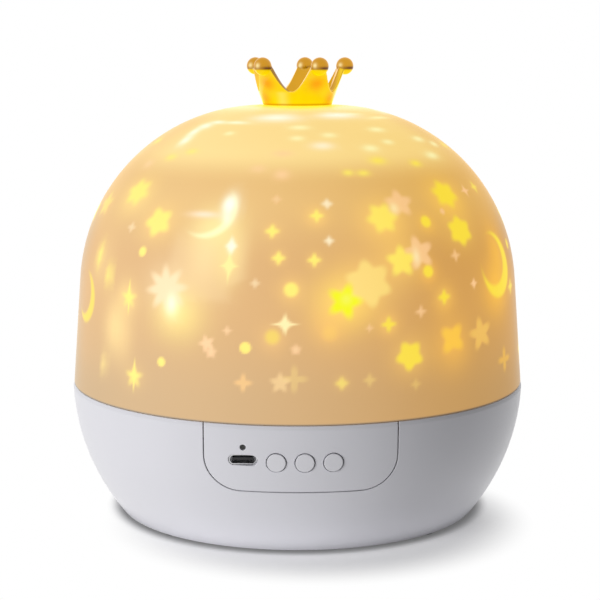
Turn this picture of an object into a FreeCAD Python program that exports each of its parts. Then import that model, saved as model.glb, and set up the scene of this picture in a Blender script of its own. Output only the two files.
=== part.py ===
"""Star night light projector: a white bowl with a rechargeable drive, a turning film
drum over a lamp post, and a lift-off translucent dome with a clear crown.

Millimetres. +Z is up, the control panel faces -Y, and the origin is the centre of the
circle that the feet stand on.
"""
import FreeCAD
import Part

import math
import os
from types import SimpleNamespace

import Sketcher

Vector = FreeCAD.Vector

# Driving dimensions: name, value in millimetres (or a count, or degrees), what it is.
SIZES = [
    ("rim_radius", 80.0, "bowl radius at its rim"),
    ("rim_height", 45.7, "top of the bowl"),
    ("bowl_arc_radius", 74.3, "radius of the bowl's side arc"),
    ("bowl_arc_rise", 1.6, "how far that arc's centre lies above the rim"),
    ("bowl_wall", 2.4, "wall of the bowl and of the panel"),
    ("rim_bevel", 0.45, "width of the bevel round the rim"),
    ("rim_bevel_drop", 1.2, "height of the bevel round the rim"),
    ("foot_gap", 0.6, "how far the feet stand out below the bowl"),
    ("foot_radius", 3.4, "radius of a rubber foot"),
    ("foot_thickness", 1.6, "thickness of a rubber foot"),
    ("foot_inset", 4.24, "distance from the bowl's lower edge in to the circle of feet"),
    ("cover_inset", 8.54, "distance from the bowl's lower edge in to the bottom cover"),
    ("cover_thickness", 2.0, "thickness of the bottom cover"),
    ("cover_clearance", 0.3, "gap round the bottom cover"),
    ("ledge_width", 5.0, "ledge of the bowl that the cover lies on"),
    ("floor_thickness", 2.0, "thickness of that ledge"),
    ("cover_boss_height", 7.0, "height of the cover's screw bosses above the ledge"),
    ("cover_boss_radius", 3.0, "radius of those bosses"),
    ("deck_drop", 5.7, "how far the deck's underside lies below the rim"),
    ("deck_thickness", 2.4, "thickness of the deck"),
    ("deck_clearance", 0.3, "gap between the deck and the bowl's wall"),
    ("collar_height", 8.6, "collar of the deck that guides the dome"),
    ("collar_wall", 2.0, "wall of that collar"),
    ("collar_clearance", 0.3, "gap between the collar's top and the dome"),
    ("deck_boss_inset", 11.28, "distance from the bowl's wall in to the circle of deck bosses"),
    ("deck_boss_radius", 4.0, "radius of a deck boss"),
    ("screw_radius", 1.25, "shank radius of the screws"),
    ("screw_head_radius", 2.4, "head radius of the screws"),
    ("screw_head_height", 1.6, "head height of the screws"),
    ("screw_drive_radius", 0.75, "radius of the recess in a screw's head"),
    ("screw_drive_depth", 1.0, "depth of that recess"),
    ("screw_length", 8.0, "shank length of the case screws"),
    ("short_screw_length", 4.0, "shank length of the inner screws"),
    ("screw_hole_gap", 0.15, "radial gap of a screw in a clearance hole"),
    ("panel_half_width", 30.65, "half the width of the control panel"),
    ("panel_height", 22.1, "height of the panel"),
    ("panel_corner", 11.5, "radius of the panel's lower corners"),
    ("panel_gap", 0.3, "gap round the control panel"),
    ("panel_flange", 2.0, "how far the flange behind the panel reaches past its edge"),
    ("panel_flange_wall", 1.2, "thickness of that flange"),
    ("port_side", -18.3, "X of the charging port"),
    ("port_drop", 11.5, "how far the port's axis lies below the rim"),
    ("port_width", 8.94, "outer width of the port's shell"),
    ("port_thickness", 3.26, "outer height of the port's shell"),
    ("port_wall", 0.3, "sheet thickness of the port's shell"),
    ("port_length", 9.3, "length of the port's shell"),
    ("port_back", 1.0, "thickness of the port's back"),
    ("port_setback", 0.96, "how far the port's mouth lies behind the panel's inner face"),
    ("port_clearance", 0.15, "gap between the port's shell and the panel"),
    ("tongue_width", 6.7, "width of the port's tongue"),
    ("tongue_thickness", 0.7, "thickness of the port's tongue"),
    ("tongue_setback", 1.0, "how far the tongue ends inside the mouth"),
    ("pinhole_radius", 0.95, "radius of the indicator's pinhole"),
    ("pinhole_rise", 4.3, "how far the pinhole lies above the port"),
    ("pipe_gap", 0.15, "gap between the light pipe and its pinhole"),
    ("pipe_setback", 1.0, "how far the light pipe ends inside the pinhole"),
    ("pipe_foot_gap", 0.2, "gap between the light pipe and the indicator diode"),
    ("button_radius", 3.0, "radius of a push button"),
    ("button_drop", 0.45, "how far the buttons' axes lie below the port's"),
    ("button_side", -7.8, "X of the left button"),
    ("button_pitch", 9.0, "distance between neighbouring buttons"),
    ("button_gap", 0.25, "radial gap round a button"),
    ("button_proud", 0.4, "how far a button stands out of the panel"),
    ("button_flange_radius", 3.8, "radius of the flange that keeps a button in"),
    ("button_flange_setback", 2.76, "how far the flange lies behind the panel's inner face"),
    ("button_flange_wall", 1.0, "thickness of that flange"),
    ("switch_gap", 1.6, "gap between a button's flange and its switch"),
    ("switch_width", 6.0, "width of a switch"),
    ("switch_depth", 3.6, "depth of a switch"),
    ("switch_height", 2.6, "height of a switch"),
    ("plunger_width", 2.6, "width of a switch's plunger"),
    ("plunger_height", 1.2, "height of a switch's plunger"),
    ("plunger_inside", 0.8, "how deep a plunger sits in its switch at rest"),
    ("plunger_gap", 0.1, "gap round a plunger"),
    ("button_travel", 0.6, "how far a button goes in"),
    ("board_thickness", 1.6, "thickness of the main board"),
    ("board_left", -24.0, "X of the main board's left edge"),
    ("board_width", 40.0, "width of the main board"),
    ("board_depth", 30.0, "depth of the main board"),
    ("board_post_radius", 3.0, "radius of the posts under the main board"),
    ("board_screw_side", 16.0, "X distance of the board's posts from its middle"),
    ("board_screw_setback", 21.0, "distance of the board's rear posts from its front edge"),
    ("board_rest_setback", 7.0, "distance of the board's front posts from its front edge"),
    ("socket_width", 6.0, "width of a wire socket"),
    ("socket_depth", 5.0, "depth of a wire socket"),
    ("socket_height", 4.0, "height of a wire socket"),
    ("socket_wall", 0.6, "wall of a wire socket"),
    ("socket_back", 1.0, "thickness of a wire socket's back"),
    ("socket_pitch", 9.0, "distance between the wire sockets"),
    ("chip_setback", 11.0, "distance of the driver chip from the board's front edge"),
    ("driver_width", 10.0, "width of the driver chip"),
    ("driver_depth", 4.0, "depth of the driver chip"),
    ("driver_height", 1.5, "height of the driver chip"),
    ("charger_width", 4.4, "side of the charging chip"),
    ("charger_height", 2.4, "height of the charging chip"),
    ("charger_side", 9.0, "distance of the charging chip from the board's middle"),
    ("capacitor_radius", 2.0, "radius of a capacitor"),
    ("capacitor_height", 4.5, "height of a capacitor"),
    ("capacitor_pitch", 7.0, "distance between the capacitors"),
    ("capacitor_setback", 17.5, "distance of the capacitors from the board's front edge"),
    ("resistor_width", 3.0, "width of the sensing resistor"),
    ("resistor_depth", 1.6, "depth of the sensing resistor"),
    ("resistor_height", 1.0, "height of the sensing resistor"),
    ("indicator_width", 1.6, "width of the indicator diode"),
    ("indicator_depth", 0.8, "depth of the indicator diode"),
    ("indicator_height", 0.8, "height of the indicator diode"),
    ("indicator_setback", 7.0, "distance of the indicator diode from the board's front edge"),
    ("post_radius", 8.0, "outer radius of the lamp post"),
    ("post_bore", 5.5, "radius of the wire way through the lamp post"),
    ("post_height", 25.6, "height of the lamp post above the deck"),
    ("post_flange_radius", 14.0, "radius of the post's foot flange"),
    ("post_flange_height", 2.4, "thickness of the post's foot flange"),
    ("post_screw_circle", 11.2, "radius of the circle of the post's screws"),
    ("washer_radius", 12.0, "radius of the thrust washer"),
    ("washer_thickness", 0.8, "thickness of the thrust washer"),
    ("bearing_gap", 0.06, "radial running clearance of the turntable on the post"),
    ("bearing_play", 0.2, "axial play of the turntable"),
    ("hub_radius", 12.0, "outer radius of the turntable's hub"),
    ("hub_height", 7.0, "length of the turntable's hub"),
    ("ring_thickness", 1.0, "thickness of the retaining ring"),
    ("ring_radius", 10.4, "outer radius of the retaining ring"),
    ("ring_groove", 0.8, "depth of the ring's groove in the post"),
    ("ring_mouth", 8.6, "width of the ring's mouth"),
    ("plate_inset", 3.4, "gap between the turntable's plate and the dome"),
    ("plate_thickness", 2.0, "thickness of the turntable's plate"),
    ("gear_module", 1.25, "module of the ring gear and pinion"),
    ("gear_teeth", 60, "teeth of the ring gear"),
    ("pinion_teeth", 12, "teeth of the pinion"),
    ("gear_face", 4.6, "face width of the ring gear"),
    ("gear_rim", 3.0, "rim of the ring gear inside its teeth"),
    ("gear_backlash", 0.25, "tooth thinning for backlash"),
    ("pinion_face", 4.0, "face width of the pinion"),
    ("pinion_lift", 0.7, "gap between the pinion and the deck"),
    ("shaft_radius", 1.5, "radius of the motor shaft"),
    ("shaft_gap", 0.05, "radial clearance of the shaft in its gearbox"),
    ("shaft_inside", 8.0, "length of the shaft inside the gearbox"),
    ("shaft_end_gap", 0.3, "gap under the shaft's end in the gearbox"),
    ("shaft_hole_radius", 3.0, "radius of the deck's hole for the shaft"),
    ("motor_width", 12.0, "width of the gear motor"),
    ("motor_depth", 10.0, "depth of the gear motor"),
    ("motor_length", 24.0, "length of the gear motor"),
    ("gearbox_length", 9.0, "length of its gearbox"),
    ("bracket_wall", 1.2, "sheet thickness of the motor bracket"),
    ("bracket_gap", 0.15, "gap between the motor and its bracket"),
    ("bracket_width", 8.0, "width of the motor bracket"),
    ("bracket_ear", 7.0, "length of each ear of the bracket"),
    ("bracket_boss_radius", 2.6, "radius of the bracket bosses under the deck"),
    ("bracket_boss_height", 3.0, "height of the bracket bosses under the deck"),
    ("led_board_radius", 6.8, "radius of the lamp's board"),
    ("led_board_thickness", 1.4, "thickness of the lamp's board"),
    ("led_seat_gap", 0.1, "gap round the lamp's board in its seat"),
    ("led_size", 3.0, "side of a light chip"),
    ("led_height", 0.9, "height of a light chip"),
    ("led_spacing", 4.2, "distance between the light chips"),
    ("lens_wall", 1.0, "wall of the lens over the light chips"),
    ("drum_inset", 2.0, "distance from the turntable's edge in to the film drum"),
    ("drum_taper", 3.5, "how much narrower the drum is at its shoulder than at its foot"),
    ("drum_crown_width", 24.0, "radial width of the drum's arc between shoulder and top"),
    ("drum_crown_height", 19.0, "height of that arc"),
    ("drum_headroom", 26.7, "distance from the drum's top up to the dome's"),
    ("drum_crown_radius", 50.0, "radius of the arc between its shoulder and top"),
    ("drum_wall", 1.2, "wall of the film drum"),
    ("drum_ring_height", 3.0, "height of the ring that centres the drum"),
    ("drum_ring_wall", 1.8, "wall of the ring that centres the drum"),
    ("drum_seat_gap", 0.2, "gap between that ring and the drum"),
    ("film_thickness", 0.3, "thickness of the printed films"),
    ("film_gap", 0.1, "gap between the side film and the drum"),
    ("film_margin", 3.0, "bare edge of the drum below and above the side film"),
    ("window_size", 6.5, "radius of the large star windows"),
    ("dot_radius", 1.1, "radius of the small windows in the top film"),
    ("dome_seam", 0.3, "gap between the bowl's rim and the dome"),
    ("dome_rim_inset", 0.3, "how far the dome's rim lies inside the bowl's"),
    ("dome_taper", 2.8, "how much narrower the dome is at its side's top than at its rim"),
    ("dome_side_height", 37.2, "height of the dome's side"),
    ("dome_flat_radius", 12.8, "radius of the dome's flat top"),
    ("dome_height", 96.7, "height of the dome"),
    ("dome_wall", 2.0, "wall of the dome"),
    ("crown_foot_radius", 12.0, "radius of the crown's foot"),
    ("crown_tip_radius", 16.84, "radius of the circle of ball tips"),
    ("crown_tip_height", 13.6, "height of the ball centres above the dome"),
    ("crown_ball_radius", 3.08, "radius of a ball tip"),
    ("crown_wall", 2.3, "wall of the crown"),
    ("crown_floor", 2.0, "thickness of the crown's floor"),
    ("crown_valley_height", 4.9, "height of the valleys above the dome"),
    ("crown_valley_radius", 2.4, "radius of the valleys"),
    ("crown_spike_width", 5.0, "width of a spike under its ball"),
    ("crown_tips", 5, "number of spikes"),
    ("crown_turn", 26.0, "azimuth of the first spike from the front, in degrees"),
    ("crown_spigot_radius", 4.0, "radius of the spigot under the crown"),
    ("crown_washer_radius", 6.5, "radius of the washer under the dome"),
    ("cell_radius", 9.2, "radius of the battery cell"),
    ("cell_length", 65.0, "length of the battery cell"),
    ("cell_row", 24.0, "distance of the cell behind the axis"),
    ("cradle_wall", 1.6, "wall of the battery cradle"),
    ("cradle_floor", 1.2, "floor of the battery cradle"),
    ("cradle_gap", 0.2, "gap between the cell and its cradle"),
    ("cradle_setback", 2.0, "how far the cradle ends inside the cell's ends"),
    ("cradle_drop", 3.0, "how far the cradle's top lies below the cell's axis"),
    ("strap_width", 12.0, "width of the battery strap"),
    ("strap_wall", 1.0, "thickness of the battery strap"),
    ("tab_thickness", 0.3, "thickness of the battery tabs"),
    ("tab_width", 8.0, "width of the battery tabs"),
    ("lead_radius", 0.6, "radius of an insulated lead"),
    ("lead_spacing", 2.0, "distance between the leads of a pair"),
    ("lead_exit", 12.0, "how far behind its socket a lead first turns"),
    ("motor_lead_drop", 6.0, "how far the motor's leads go down before they turn"),
    ("motor_lead_side", 12.0, "distance from the shaft in to the turn of the motor's leads"),
    ("motor_lead_row", 8.0, "distance of that turn in front of the axis"),
    ("motor_lead_rise", 4.0, "height above the motor's end of the leads' last turn but one"),
    ("battery_lead_rise", 18.4, "how far the battery's leads go up before they turn"),
    ("battery_lead_spread", 6.0, "sideways room of the battery's leads at their middle"),
    ("battery_lead_row", 30.0, "distance of that middle behind the board"),
    ("battery_lead_level", 13.8, "height of that middle above the cell's axis"),
]

# Tools that cut run past the faces that they open, and fused pieces reach into each other.
OVERCUT = 1.0
BITE = 0.2


class Size:
    """A length that holds both its value and the expression that gives it."""

    def __init__(self, value, text):
        self.value = float(value)
        self.text = text

    def __add__(self, other):
        other = as_size(other)
        return Size(self.value + other.value, "(%s + %s)" % (self.text, other.text))

    def __sub__(self, other):
        other = as_size(other)
        return Size(self.value - other.value, "(%s - %s)" % (self.text, other.text))

    def __mul__(self, other):
        other = as_size(other)
        return Size(self.value * other.value, "(%s * %s)" % (self.text, other.text))

    def __truediv__(self, other):
        other = as_size(other)
        return Size(self.value / other.value, "(%s / %s)" % (self.text, other.text))

    def __neg__(self):
        return as_size(0) - self

    def __radd__(self, other):
        return as_size(other) + self

    def __rsub__(self, other):
        return as_size(other) - self

    def __rmul__(self, other):
        return as_size(other) * self


def as_size(number):
    if isinstance(number, Size):
        return number
    return Size(number, "(%r)" % float(number))


def root(size):
    return Size(math.sqrt(size.value), "sqrt(%s)" % size.text)


def turned(radius, degrees):
    """X and Y of a point on a circle, with the azimuth counted from the front (-Y) towards +X."""
    angle = math.radians(degrees)
    return radius * math.sin(angle), radius * (-math.cos(angle))


document = FreeCAD.newDocument("night_light")
sheet = document.addObject("Spreadsheet::Sheet", "sizes")
for row, (alias, value, meaning) in enumerate(SIZES, 1):
    sheet.set("A%d" % row, alias)
    sheet.set("B%d" % row, str(value))
    sheet.set("C%d" % row, meaning)
    sheet.setAlias("B%d" % row, alias)
document.recompute()
size = SimpleNamespace(**{alias: Size(sheet.get(alias), "sizes." + alias) for alias, _, _ in SIZES})

nodes = []


def node(shape_object, name):
    """Gives a finished sub-part the name that its file takes."""
    shape_object.Label = name
    nodes.append(shape_object)
    return shape_object


def bind(shape_object, **properties):
    for name, length in properties.items():
        shape_object.setExpression(name, as_size(length).text)


def place(shape_object, x=0, y=0, z=0, turn=None):
    """Sets a placement; turn is an (axis, degrees) pair."""
    if turn is not None:
        shape_object.Placement.Rotation = FreeCAD.Rotation(Vector(*turn[0]), turn[1])
    for name, length in (("x", x), ("y", y), ("z", z)):
        shape_object.setExpression("Placement.Base." + name, as_size(length).text)
    return shape_object


ALONG = {"Z": None, "Y": ((1, 0, 0), -90), "X": ((0, 1, 0), 90)}


def cylinder(radius, length, x=0, y=0, z=0, along="Z"):
    """A cylinder that starts at the given point and runs along +X, +Y or +Z."""
    made = document.addObject("Part::Cylinder", "cylinder")
    bind(made, Radius=radius, Height=length)
    return place(made, x, y, z, ALONG[along])


def ring(outer, inner, length, x=0, y=0, z=0):
    return cut(cylinder(outer, length, x, y, z),
               cylinder(inner, length + OVERCUT * 2, x, y, z - OVERCUT))


def block(width, depth, height, x=0, y=0, z=0):
    """A box whose lowest corner is at the given point."""
    made = document.addObject("Part::Box", "block")
    bind(made, Length=width, Width=depth, Height=height)
    return place(made, x, y, z)


def ball(radius, x=0, y=0, z=0):
    made = document.addObject("Part::Sphere", "ball")
    bind(made, Radius=radius)
    return place(made, x, y, z)


def joined(kind, first, second):
    made = document.addObject("Part::" + kind, kind.lower())
    made.Base = first
    made.Tool = second
    return made


def gathered(kind, pieces):
    made = document.addObject("Part::" + kind, kind.lower())
    if kind == "Compound":
        made.Links = list(pieces)
    else:
        made.Shapes = list(pieces)
    return made


def group(pieces):
    """Separate solids that share one node."""
    return gathered("Compound", pieces)


def fuse(*pieces):
    return gathered("MultiFuse", pieces)


def common(first, second):
    return joined("Common", first, second)


def cut(first, *tools):
    return joined("Cut", first, tools[0] if len(tools) == 1 else group(tools))


def turned_copies(piece, count, first=0.0):
    """Copies of a piece at even steps round the Z axis, the first at the given angle."""
    copies = []
    for step in range(count):
        copy = document.addObject("Part::Compound", "copy")
        copy.Links = [piece]
        angle = first + 360.0 * step / count
        copy.Placement = FreeCAD.Placement(Vector(), FreeCAD.Rotation(Vector(0, 0, 1), angle))
        copies.append(copy)
    return copies


def arc(radius, x, y, left=True):
    """An outline's arc to a point; left says that its centre is to the left of the way there."""
    return ("arc", radius, x, y, left)


def draw(sketch, outline):
    """Draws a closed outline of corners (x, y) and arcs, and binds every size in it."""
    corners = [(as_size(item[-3] if item[0] == "arc" else item[0]),
                as_size(item[-2] if item[0] == "arc" else item[1])) for item in outline]
    edges = []
    for index, item in enumerate(outline):
        start = corners[index - 1]
        end = corners[index]
        first = Vector(start[0].value, start[1].value, 0)
        last = Vector(end[0].value, end[1].value, 0)
        if item[0] != "arc":
            edges.append((sketch.addGeometry(Part.LineSegment(first, last), False), 1, 2))
            continue
        radius = as_size(item[1])
        chord = last - first
        rise = math.sqrt(max(radius.value ** 2 - chord.Length ** 2 / 4, 0.0))
        side = Vector(-chord.y, chord.x, 0).normalize() * (rise if item[4] else -rise)
        centre = (first + last) / 2 + side
        ends = [math.atan2(point.y - centre.y, point.x - centre.x) for point in (first, last)]
        if not item[4]:
            ends.reverse()
        circle = Part.Circle(centre, Vector(0, 0, 1), radius.value)
        edge = sketch.addGeometry(Part.ArcOfCircle(circle, ends[0], ends[1]), False)
        edges.append((edge, 1, 2) if item[4] else (edge, 2, 1))
        constraint = sketch.addConstraint(Sketcher.Constraint("Radius", edge, radius.value))
        sketch.setExpression("Constraints[%d]" % constraint, radius.text)
    for index, (edge, start, _) in enumerate(edges):
        before, _, before_end = edges[index - 1]
        sketch.addConstraint(Sketcher.Constraint("Coincident", before, before_end, edge, start))
        for kind, length, axis in (("DistanceX", corners[index - 1][0], -2),
                                   ("DistanceY", corners[index - 1][1], -1)):
            if length.text == "(0.0)":
                sketch.addConstraint(Sketcher.Constraint("PointOnObject", edge, start, axis))
                continue
            constraint = sketch.addConstraint(
                Sketcher.Constraint(kind, -1, 1, edge, start, length.value))
            sketch.setExpression("Constraints[%d]" % constraint, length.text)


def sketched(plane, outline):
    """A body with one sketch on one of its own origin planes."""
    body = document.addObject("PartDesign::Body", "body")
    sketch = body.newObject("Sketcher::SketchObject", "outline")
    support = [item for item in body.Origin.OriginFeatures if item.Role == plane][0]
    sketch.AttachmentSupport = [(support, "")]
    sketch.MapMode = "FlatFace"
    draw(sketch, outline)
    return body, sketch


def revolved(outline):
    """A body turned about Z from an outline of (radius, height) corners."""
    body, sketch = sketched("XZ_Plane", outline)
    turn = body.newObject("PartDesign::Revolution", "turn")
    turn.Profile = sketch
    turn.ReferenceAxis = (sketch, ["V_Axis"])
    turn.Angle = 360
    return body


def padded(plane, outline, length):
    """A body padded from the XZ plane towards -Y, from the XY plane up or from the YZ plane to +X."""
    body, sketch = sketched(plane, outline)
    pad = body.newObject("PartDesign::Pad", "pad")
    pad.Profile = sketch
    bind(pad, Length=length)
    return body


def screw(length, x=0, y=0, z=0, up=False):
    """A screw with its head's seat at z; up says that the shank points up."""
    radius = size.screw_radius
    head = size.screw_head_height
    recess = size.screw_drive_depth
    if up:
        shank = cylinder(radius, length + BITE, x, y, z - BITE)
        top = cylinder(size.screw_head_radius, head, x, y, z - head)
        drive_foot = z - head - OVERCUT
    else:
        shank = cylinder(radius, length + BITE, x, y, z - length)
        top = cylinder(size.screw_head_radius, head, x, y, z)
        drive_foot = z + head - recess
    return cut(fuse(shank, top), cylinder(size.screw_drive_radius, recess + OVERCUT, x, y, drive_foot))


# Shared outlines of the bowl and of the dome.
bowl_arc_height = size.rim_height + size.bowl_arc_rise
bevel_foot = size.rim_height - size.rim_bevel_drop
bowl_centre = size.rim_radius - root(size.bowl_arc_radius * size.bowl_arc_radius
                                     - (bowl_arc_height - bevel_foot) * (bowl_arc_height - bevel_foot))


def bowl_radius(height, inset=0):
    """Radius of the bowl's side at a height, moved in by inset."""
    reach = size.bowl_arc_radius - inset
    drop = bowl_arc_height - height
    return bowl_centre + root(reach * reach - drop * drop)


dome_foot = size.rim_height + size.dome_seam
dome_top = dome_foot + size.dome_height
dome_side_top = dome_foot + size.dome_side_height
dome_rim_radius = size.rim_radius - size.dome_rim_inset
dome_side_radius = dome_rim_radius - size.dome_taper
dome_rise = dome_top - dome_side_top
dome_reach = dome_side_radius - size.dome_flat_radius
dome_arc_radius = (dome_reach * dome_reach + dome_rise * dome_rise) / (dome_rise * 2)
dome_arc_height = dome_top - dome_arc_radius


def dome_shoulder(inset):
    """Radius and height of the dome's side top, moved in by inset along the arc's radius."""
    share = (dome_arc_radius - inset) / dome_arc_radius
    return (size.dome_flat_radius + dome_reach * share,
            dome_arc_height + (dome_side_top - dome_arc_height) * share)


# Heights that follow from the stack of parts.
cover_bottom = size.foot_gap
cover_top = cover_bottom + size.cover_thickness
floor_top = cover_top + size.floor_thickness
deck_height = size.rim_height - size.deck_drop
deck_top = deck_height + size.deck_thickness
port_height = size.rim_height - size.port_drop
pinhole_height = port_height + size.pinhole_rise
button_height = port_height - size.button_drop
board_top = port_height - size.port_thickness / 2
board_bottom = board_top - size.board_thickness
post_top = deck_top + size.post_height
flange_top = deck_top + size.post_flange_height
washer_top = flange_top + size.washer_thickness
hub_bottom = washer_top + size.bearing_play
hub_top = hub_bottom + size.hub_height
plate_bottom = hub_top - size.plate_thickness
ring_bottom = hub_top + size.bearing_play
gear_bottom = plate_bottom - size.gear_face
drum_top = dome_top - size.drum_headroom
drum_shoulder = drum_top - size.drum_crown_height

# Distances from the axis that follow from the bowl's wall.
shaft_circle = size.gear_module * (size.gear_teeth + size.pinion_teeth) / 2
foot_circle = bowl_radius(cover_bottom) - size.foot_inset
cover_radius = bowl_radius(cover_bottom) - size.cover_inset
cover_opening = cover_radius - size.ledge_width
deck_boss_circle = bowl_radius(deck_height, size.bowl_wall) - size.deck_boss_inset
panel_inner = bowl_radius(button_height, size.bowl_wall)
port_front = panel_inner - size.port_setback
button_flange_front = panel_inner - size.button_flange_setback
button_flange_back = button_flange_front - size.button_flange_wall
switch_front = button_flange_back - size.switch_gap
board_front = switch_front
board_back = board_front - size.board_depth
board_screw_row = board_front - size.board_screw_setback
board_rest_row = board_front - size.board_rest_setback
plate_radius = dome_side_radius - size.dome_wall - size.plate_inset
drum_radius = plate_radius - size.drum_inset
drum_shoulder_radius = drum_radius - size.drum_taper
drum_top_radius = drum_shoulder_radius - size.drum_crown_width
drum_slope = size.drum_taper / (drum_shoulder - hub_top)


def bowl_filled(inset, top):
    """The whole space inside the bowl's side moved in by inset."""
    low = floor_top - size.floor_thickness
    return revolved([
        (0, low),
        (bowl_radius(low, inset), low),
        arc(size.bowl_arc_radius - inset, bowl_radius(top, inset), top, True),
        (0, top),
    ])


def panel_outline(grow):
    """Outline of the panel seen from the front, moved out by grow."""
    half = size.panel_half_width + grow
    low = size.rim_height - size.panel_height - grow
    corner = size.panel_corner + grow
    high = size.rim_height + OVERCUT
    return [
        (-half, high),
        (-half, low + corner),
        arc(corner, -half + corner, low, True),
        (half - corner, low),
        arc(corner, half, low + corner, True),
        (half, high),
    ]


def panel_prism(grow):
    return padded("XZ_Plane", panel_outline(grow), size.rim_radius + OVERCUT)


def round_slot(width, height, length, x, y, z):
    """A rounded bar along +Y with its axis at x, z and its near end at y."""
    half = (width - height) / 2
    return fuse(
        block(half * 2, length, height, x - half, y, z - height / 2),
        cylinder(height / 2, length, x - half, y, z, "Y"),
        cylinder(height / 2, length, x + half, y, z, "Y"),
    )


BUTTON_NAMES = ("left", "middle", "right")


def button_x(index):
    return size.button_side + size.button_pitch * index


board_middle = size.board_left + size.board_width / 2


def board_posts(row):
    return [(board_middle - size.board_screw_side, -row), (board_middle + size.board_screw_side, -row)]


bracket_screw_row = size.motor_depth / 2 + size.bracket_gap + size.bracket_wall + size.bracket_ear / 2


def make_bowl():
    rim = size.rim_radius
    wall = revolved([
        (cover_opening, cover_top),
        (cover_radius + size.cover_clearance, cover_top),
        (cover_radius + size.cover_clearance, cover_bottom),
        (bowl_radius(cover_bottom), cover_bottom),
        arc(size.bowl_arc_radius, rim, bevel_foot, True),
        (rim - size.rim_bevel, size.rim_height),
        (bowl_radius(size.rim_height, size.bowl_wall), size.rim_height),
        arc(size.bowl_arc_radius - size.bowl_wall, bowl_radius(floor_top, size.bowl_wall), floor_top, False),
        (cover_opening, floor_top),
    ])
    inside = bowl_filled(size.bowl_wall / 2, deck_height)
    bosses = []
    holes = []
    for step in range(4):
        x, y = turned(deck_boss_circle, 45 + 90 * step)
        bosses.append(cylinder(size.deck_boss_radius, deck_height - cover_top, x, y, cover_top))
        holes.append(cylinder(size.screw_radius, size.screw_length, x, y,
                              deck_top - size.screw_length))
        x, y = turned(cover_opening + size.ledge_width / 2, 90 * step)
        bosses.append(cylinder(size.cover_boss_radius, size.cover_boss_height + size.floor_thickness,
                               x, y, cover_top))
        holes.append(cylinder(size.screw_radius, size.screw_length, x, y,
                              cover_bottom + size.screw_head_height))
        x, y = turned(foot_circle, 45 + 90 * step)
        holes.append(cylinder(size.foot_radius, size.foot_thickness, x, y, 0))
    for x, y in board_posts(board_screw_row):
        bosses.append(cylinder(size.board_post_radius, board_bottom - cover_top, x, y, cover_top))
        holes.append(cylinder(size.screw_radius, size.short_screw_length, x, y,
                              board_top - size.short_screw_length))
    for x, y in board_posts(board_rest_row):
        bosses.append(cylinder(size.board_post_radius, board_bottom - cover_top, x, y, cover_top))
    kept = common(fuse(*bosses), inside)
    cleared = cut(fuse(wall, kept), panel_prism(size.panel_gap))
    node(cut(cleared, *holes), "base_bowl")


def make_bottom():
    cover = cylinder(cover_radius, size.cover_thickness, 0, 0, cover_bottom)
    holes = []
    screws = []
    feet = []
    for step in range(4):
        x, y = turned(cover_opening + size.ledge_width / 2, 90 * step)
        holes.append(cylinder(size.screw_head_radius + size.screw_hole_gap, size.screw_head_height,
                              x, y, cover_bottom))
        holes.append(cylinder(size.screw_radius + size.screw_hole_gap, size.cover_thickness,
                              x, y, cover_bottom))
        screws.append(screw(size.screw_length, x, y, cover_bottom + size.screw_head_height, up=True))
        x, y = turned(foot_circle, 45 + 90 * step)
        feet.append(cylinder(size.foot_radius, size.foot_thickness, x, y, 0))
    node(cut(cover, *holes), "bottom_cover")
    node(group(screws), "bottom_screws")
    node(group(feet), "rubber_feet")


def make_panel():
    high = size.rim_height
    low = high - size.panel_height - size.panel_flange * 2
    skin = revolved([
        (bowl_radius(low), low),
        arc(size.bowl_arc_radius, size.rim_radius, bevel_foot, True),
        (size.rim_radius - size.rim_bevel, high),
        (bowl_radius(high, size.bowl_wall), high),
        arc(size.bowl_arc_radius - size.bowl_wall, bowl_radius(low, size.bowl_wall), low, False),
    ])
    flange_inset = size.bowl_wall + size.panel_flange_wall
    flange_top_height = deck_height - size.deck_clearance
    backing = revolved([
        (bowl_radius(low, size.bowl_wall), low),
        arc(size.bowl_arc_radius - size.bowl_wall,
            bowl_radius(flange_top_height, size.bowl_wall), flange_top_height, True),
        (bowl_radius(flange_top_height, flange_inset), flange_top_height),
        arc(size.bowl_arc_radius - flange_inset, bowl_radius(low, flange_inset), low, False),
    ])
    frame = cut(panel_prism(size.panel_flange), panel_prism(-size.panel_flange))
    blank = fuse(common(skin, panel_prism(0)), common(backing, frame))
    depth = size.rim_radius / 2
    start = -size.rim_radius - OVERCUT
    holes = [
        round_slot(size.port_width + size.port_clearance * 2, size.port_thickness + size.port_clearance * 2,
                   depth, size.port_side, start, port_height),
        cylinder(size.pinhole_radius, depth, size.port_side, start, pinhole_height, "Y"),
    ]
    for index in range(len(BUTTON_NAMES)):
        holes.append(cylinder(size.button_radius + size.button_gap, depth, button_x(index),
                              start, button_height, "Y"))
    node(cut(blank, *holes), "control_panel")


def make_buttons():
    reach = size.rim_radius + size.button_proud + OVERCUT
    for index, name in enumerate(BUTTON_NAMES):
        x = button_x(index)
        stem = cylinder(size.button_radius, reach - button_flange_back, x, -reach, button_height, "Y")
        face = common(stem, bowl_filled(-size.button_proud, size.rim_height))
        flange = cylinder(size.button_flange_radius, size.button_flange_wall, x,
                          -button_flange_front, button_height, "Y")
        node(fuse(face, flange), name + "_button")
        node(block(size.plunger_width, size.switch_gap + size.plunger_inside, size.plunger_height,
                   x - size.plunger_width / 2, -button_flange_back,
                   button_height - size.plunger_height / 2), name + "_plunger")


def make_board():
    board = block(size.board_width, size.board_depth, size.board_thickness,
                  size.board_left, -board_front, board_bottom)
    holes = []
    screws = []
    for x, y in board_posts(board_screw_row):
        holes.append(cylinder(size.screw_radius + size.screw_hole_gap, size.board_thickness + OVERCUT * 2,
                              x, y, board_bottom - OVERCUT))
        screws.append(screw(size.short_screw_length, x, y, board_top))
    node(cut(board, *holes), "main_board")
    node(group(screws), "board_screws")


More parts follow.
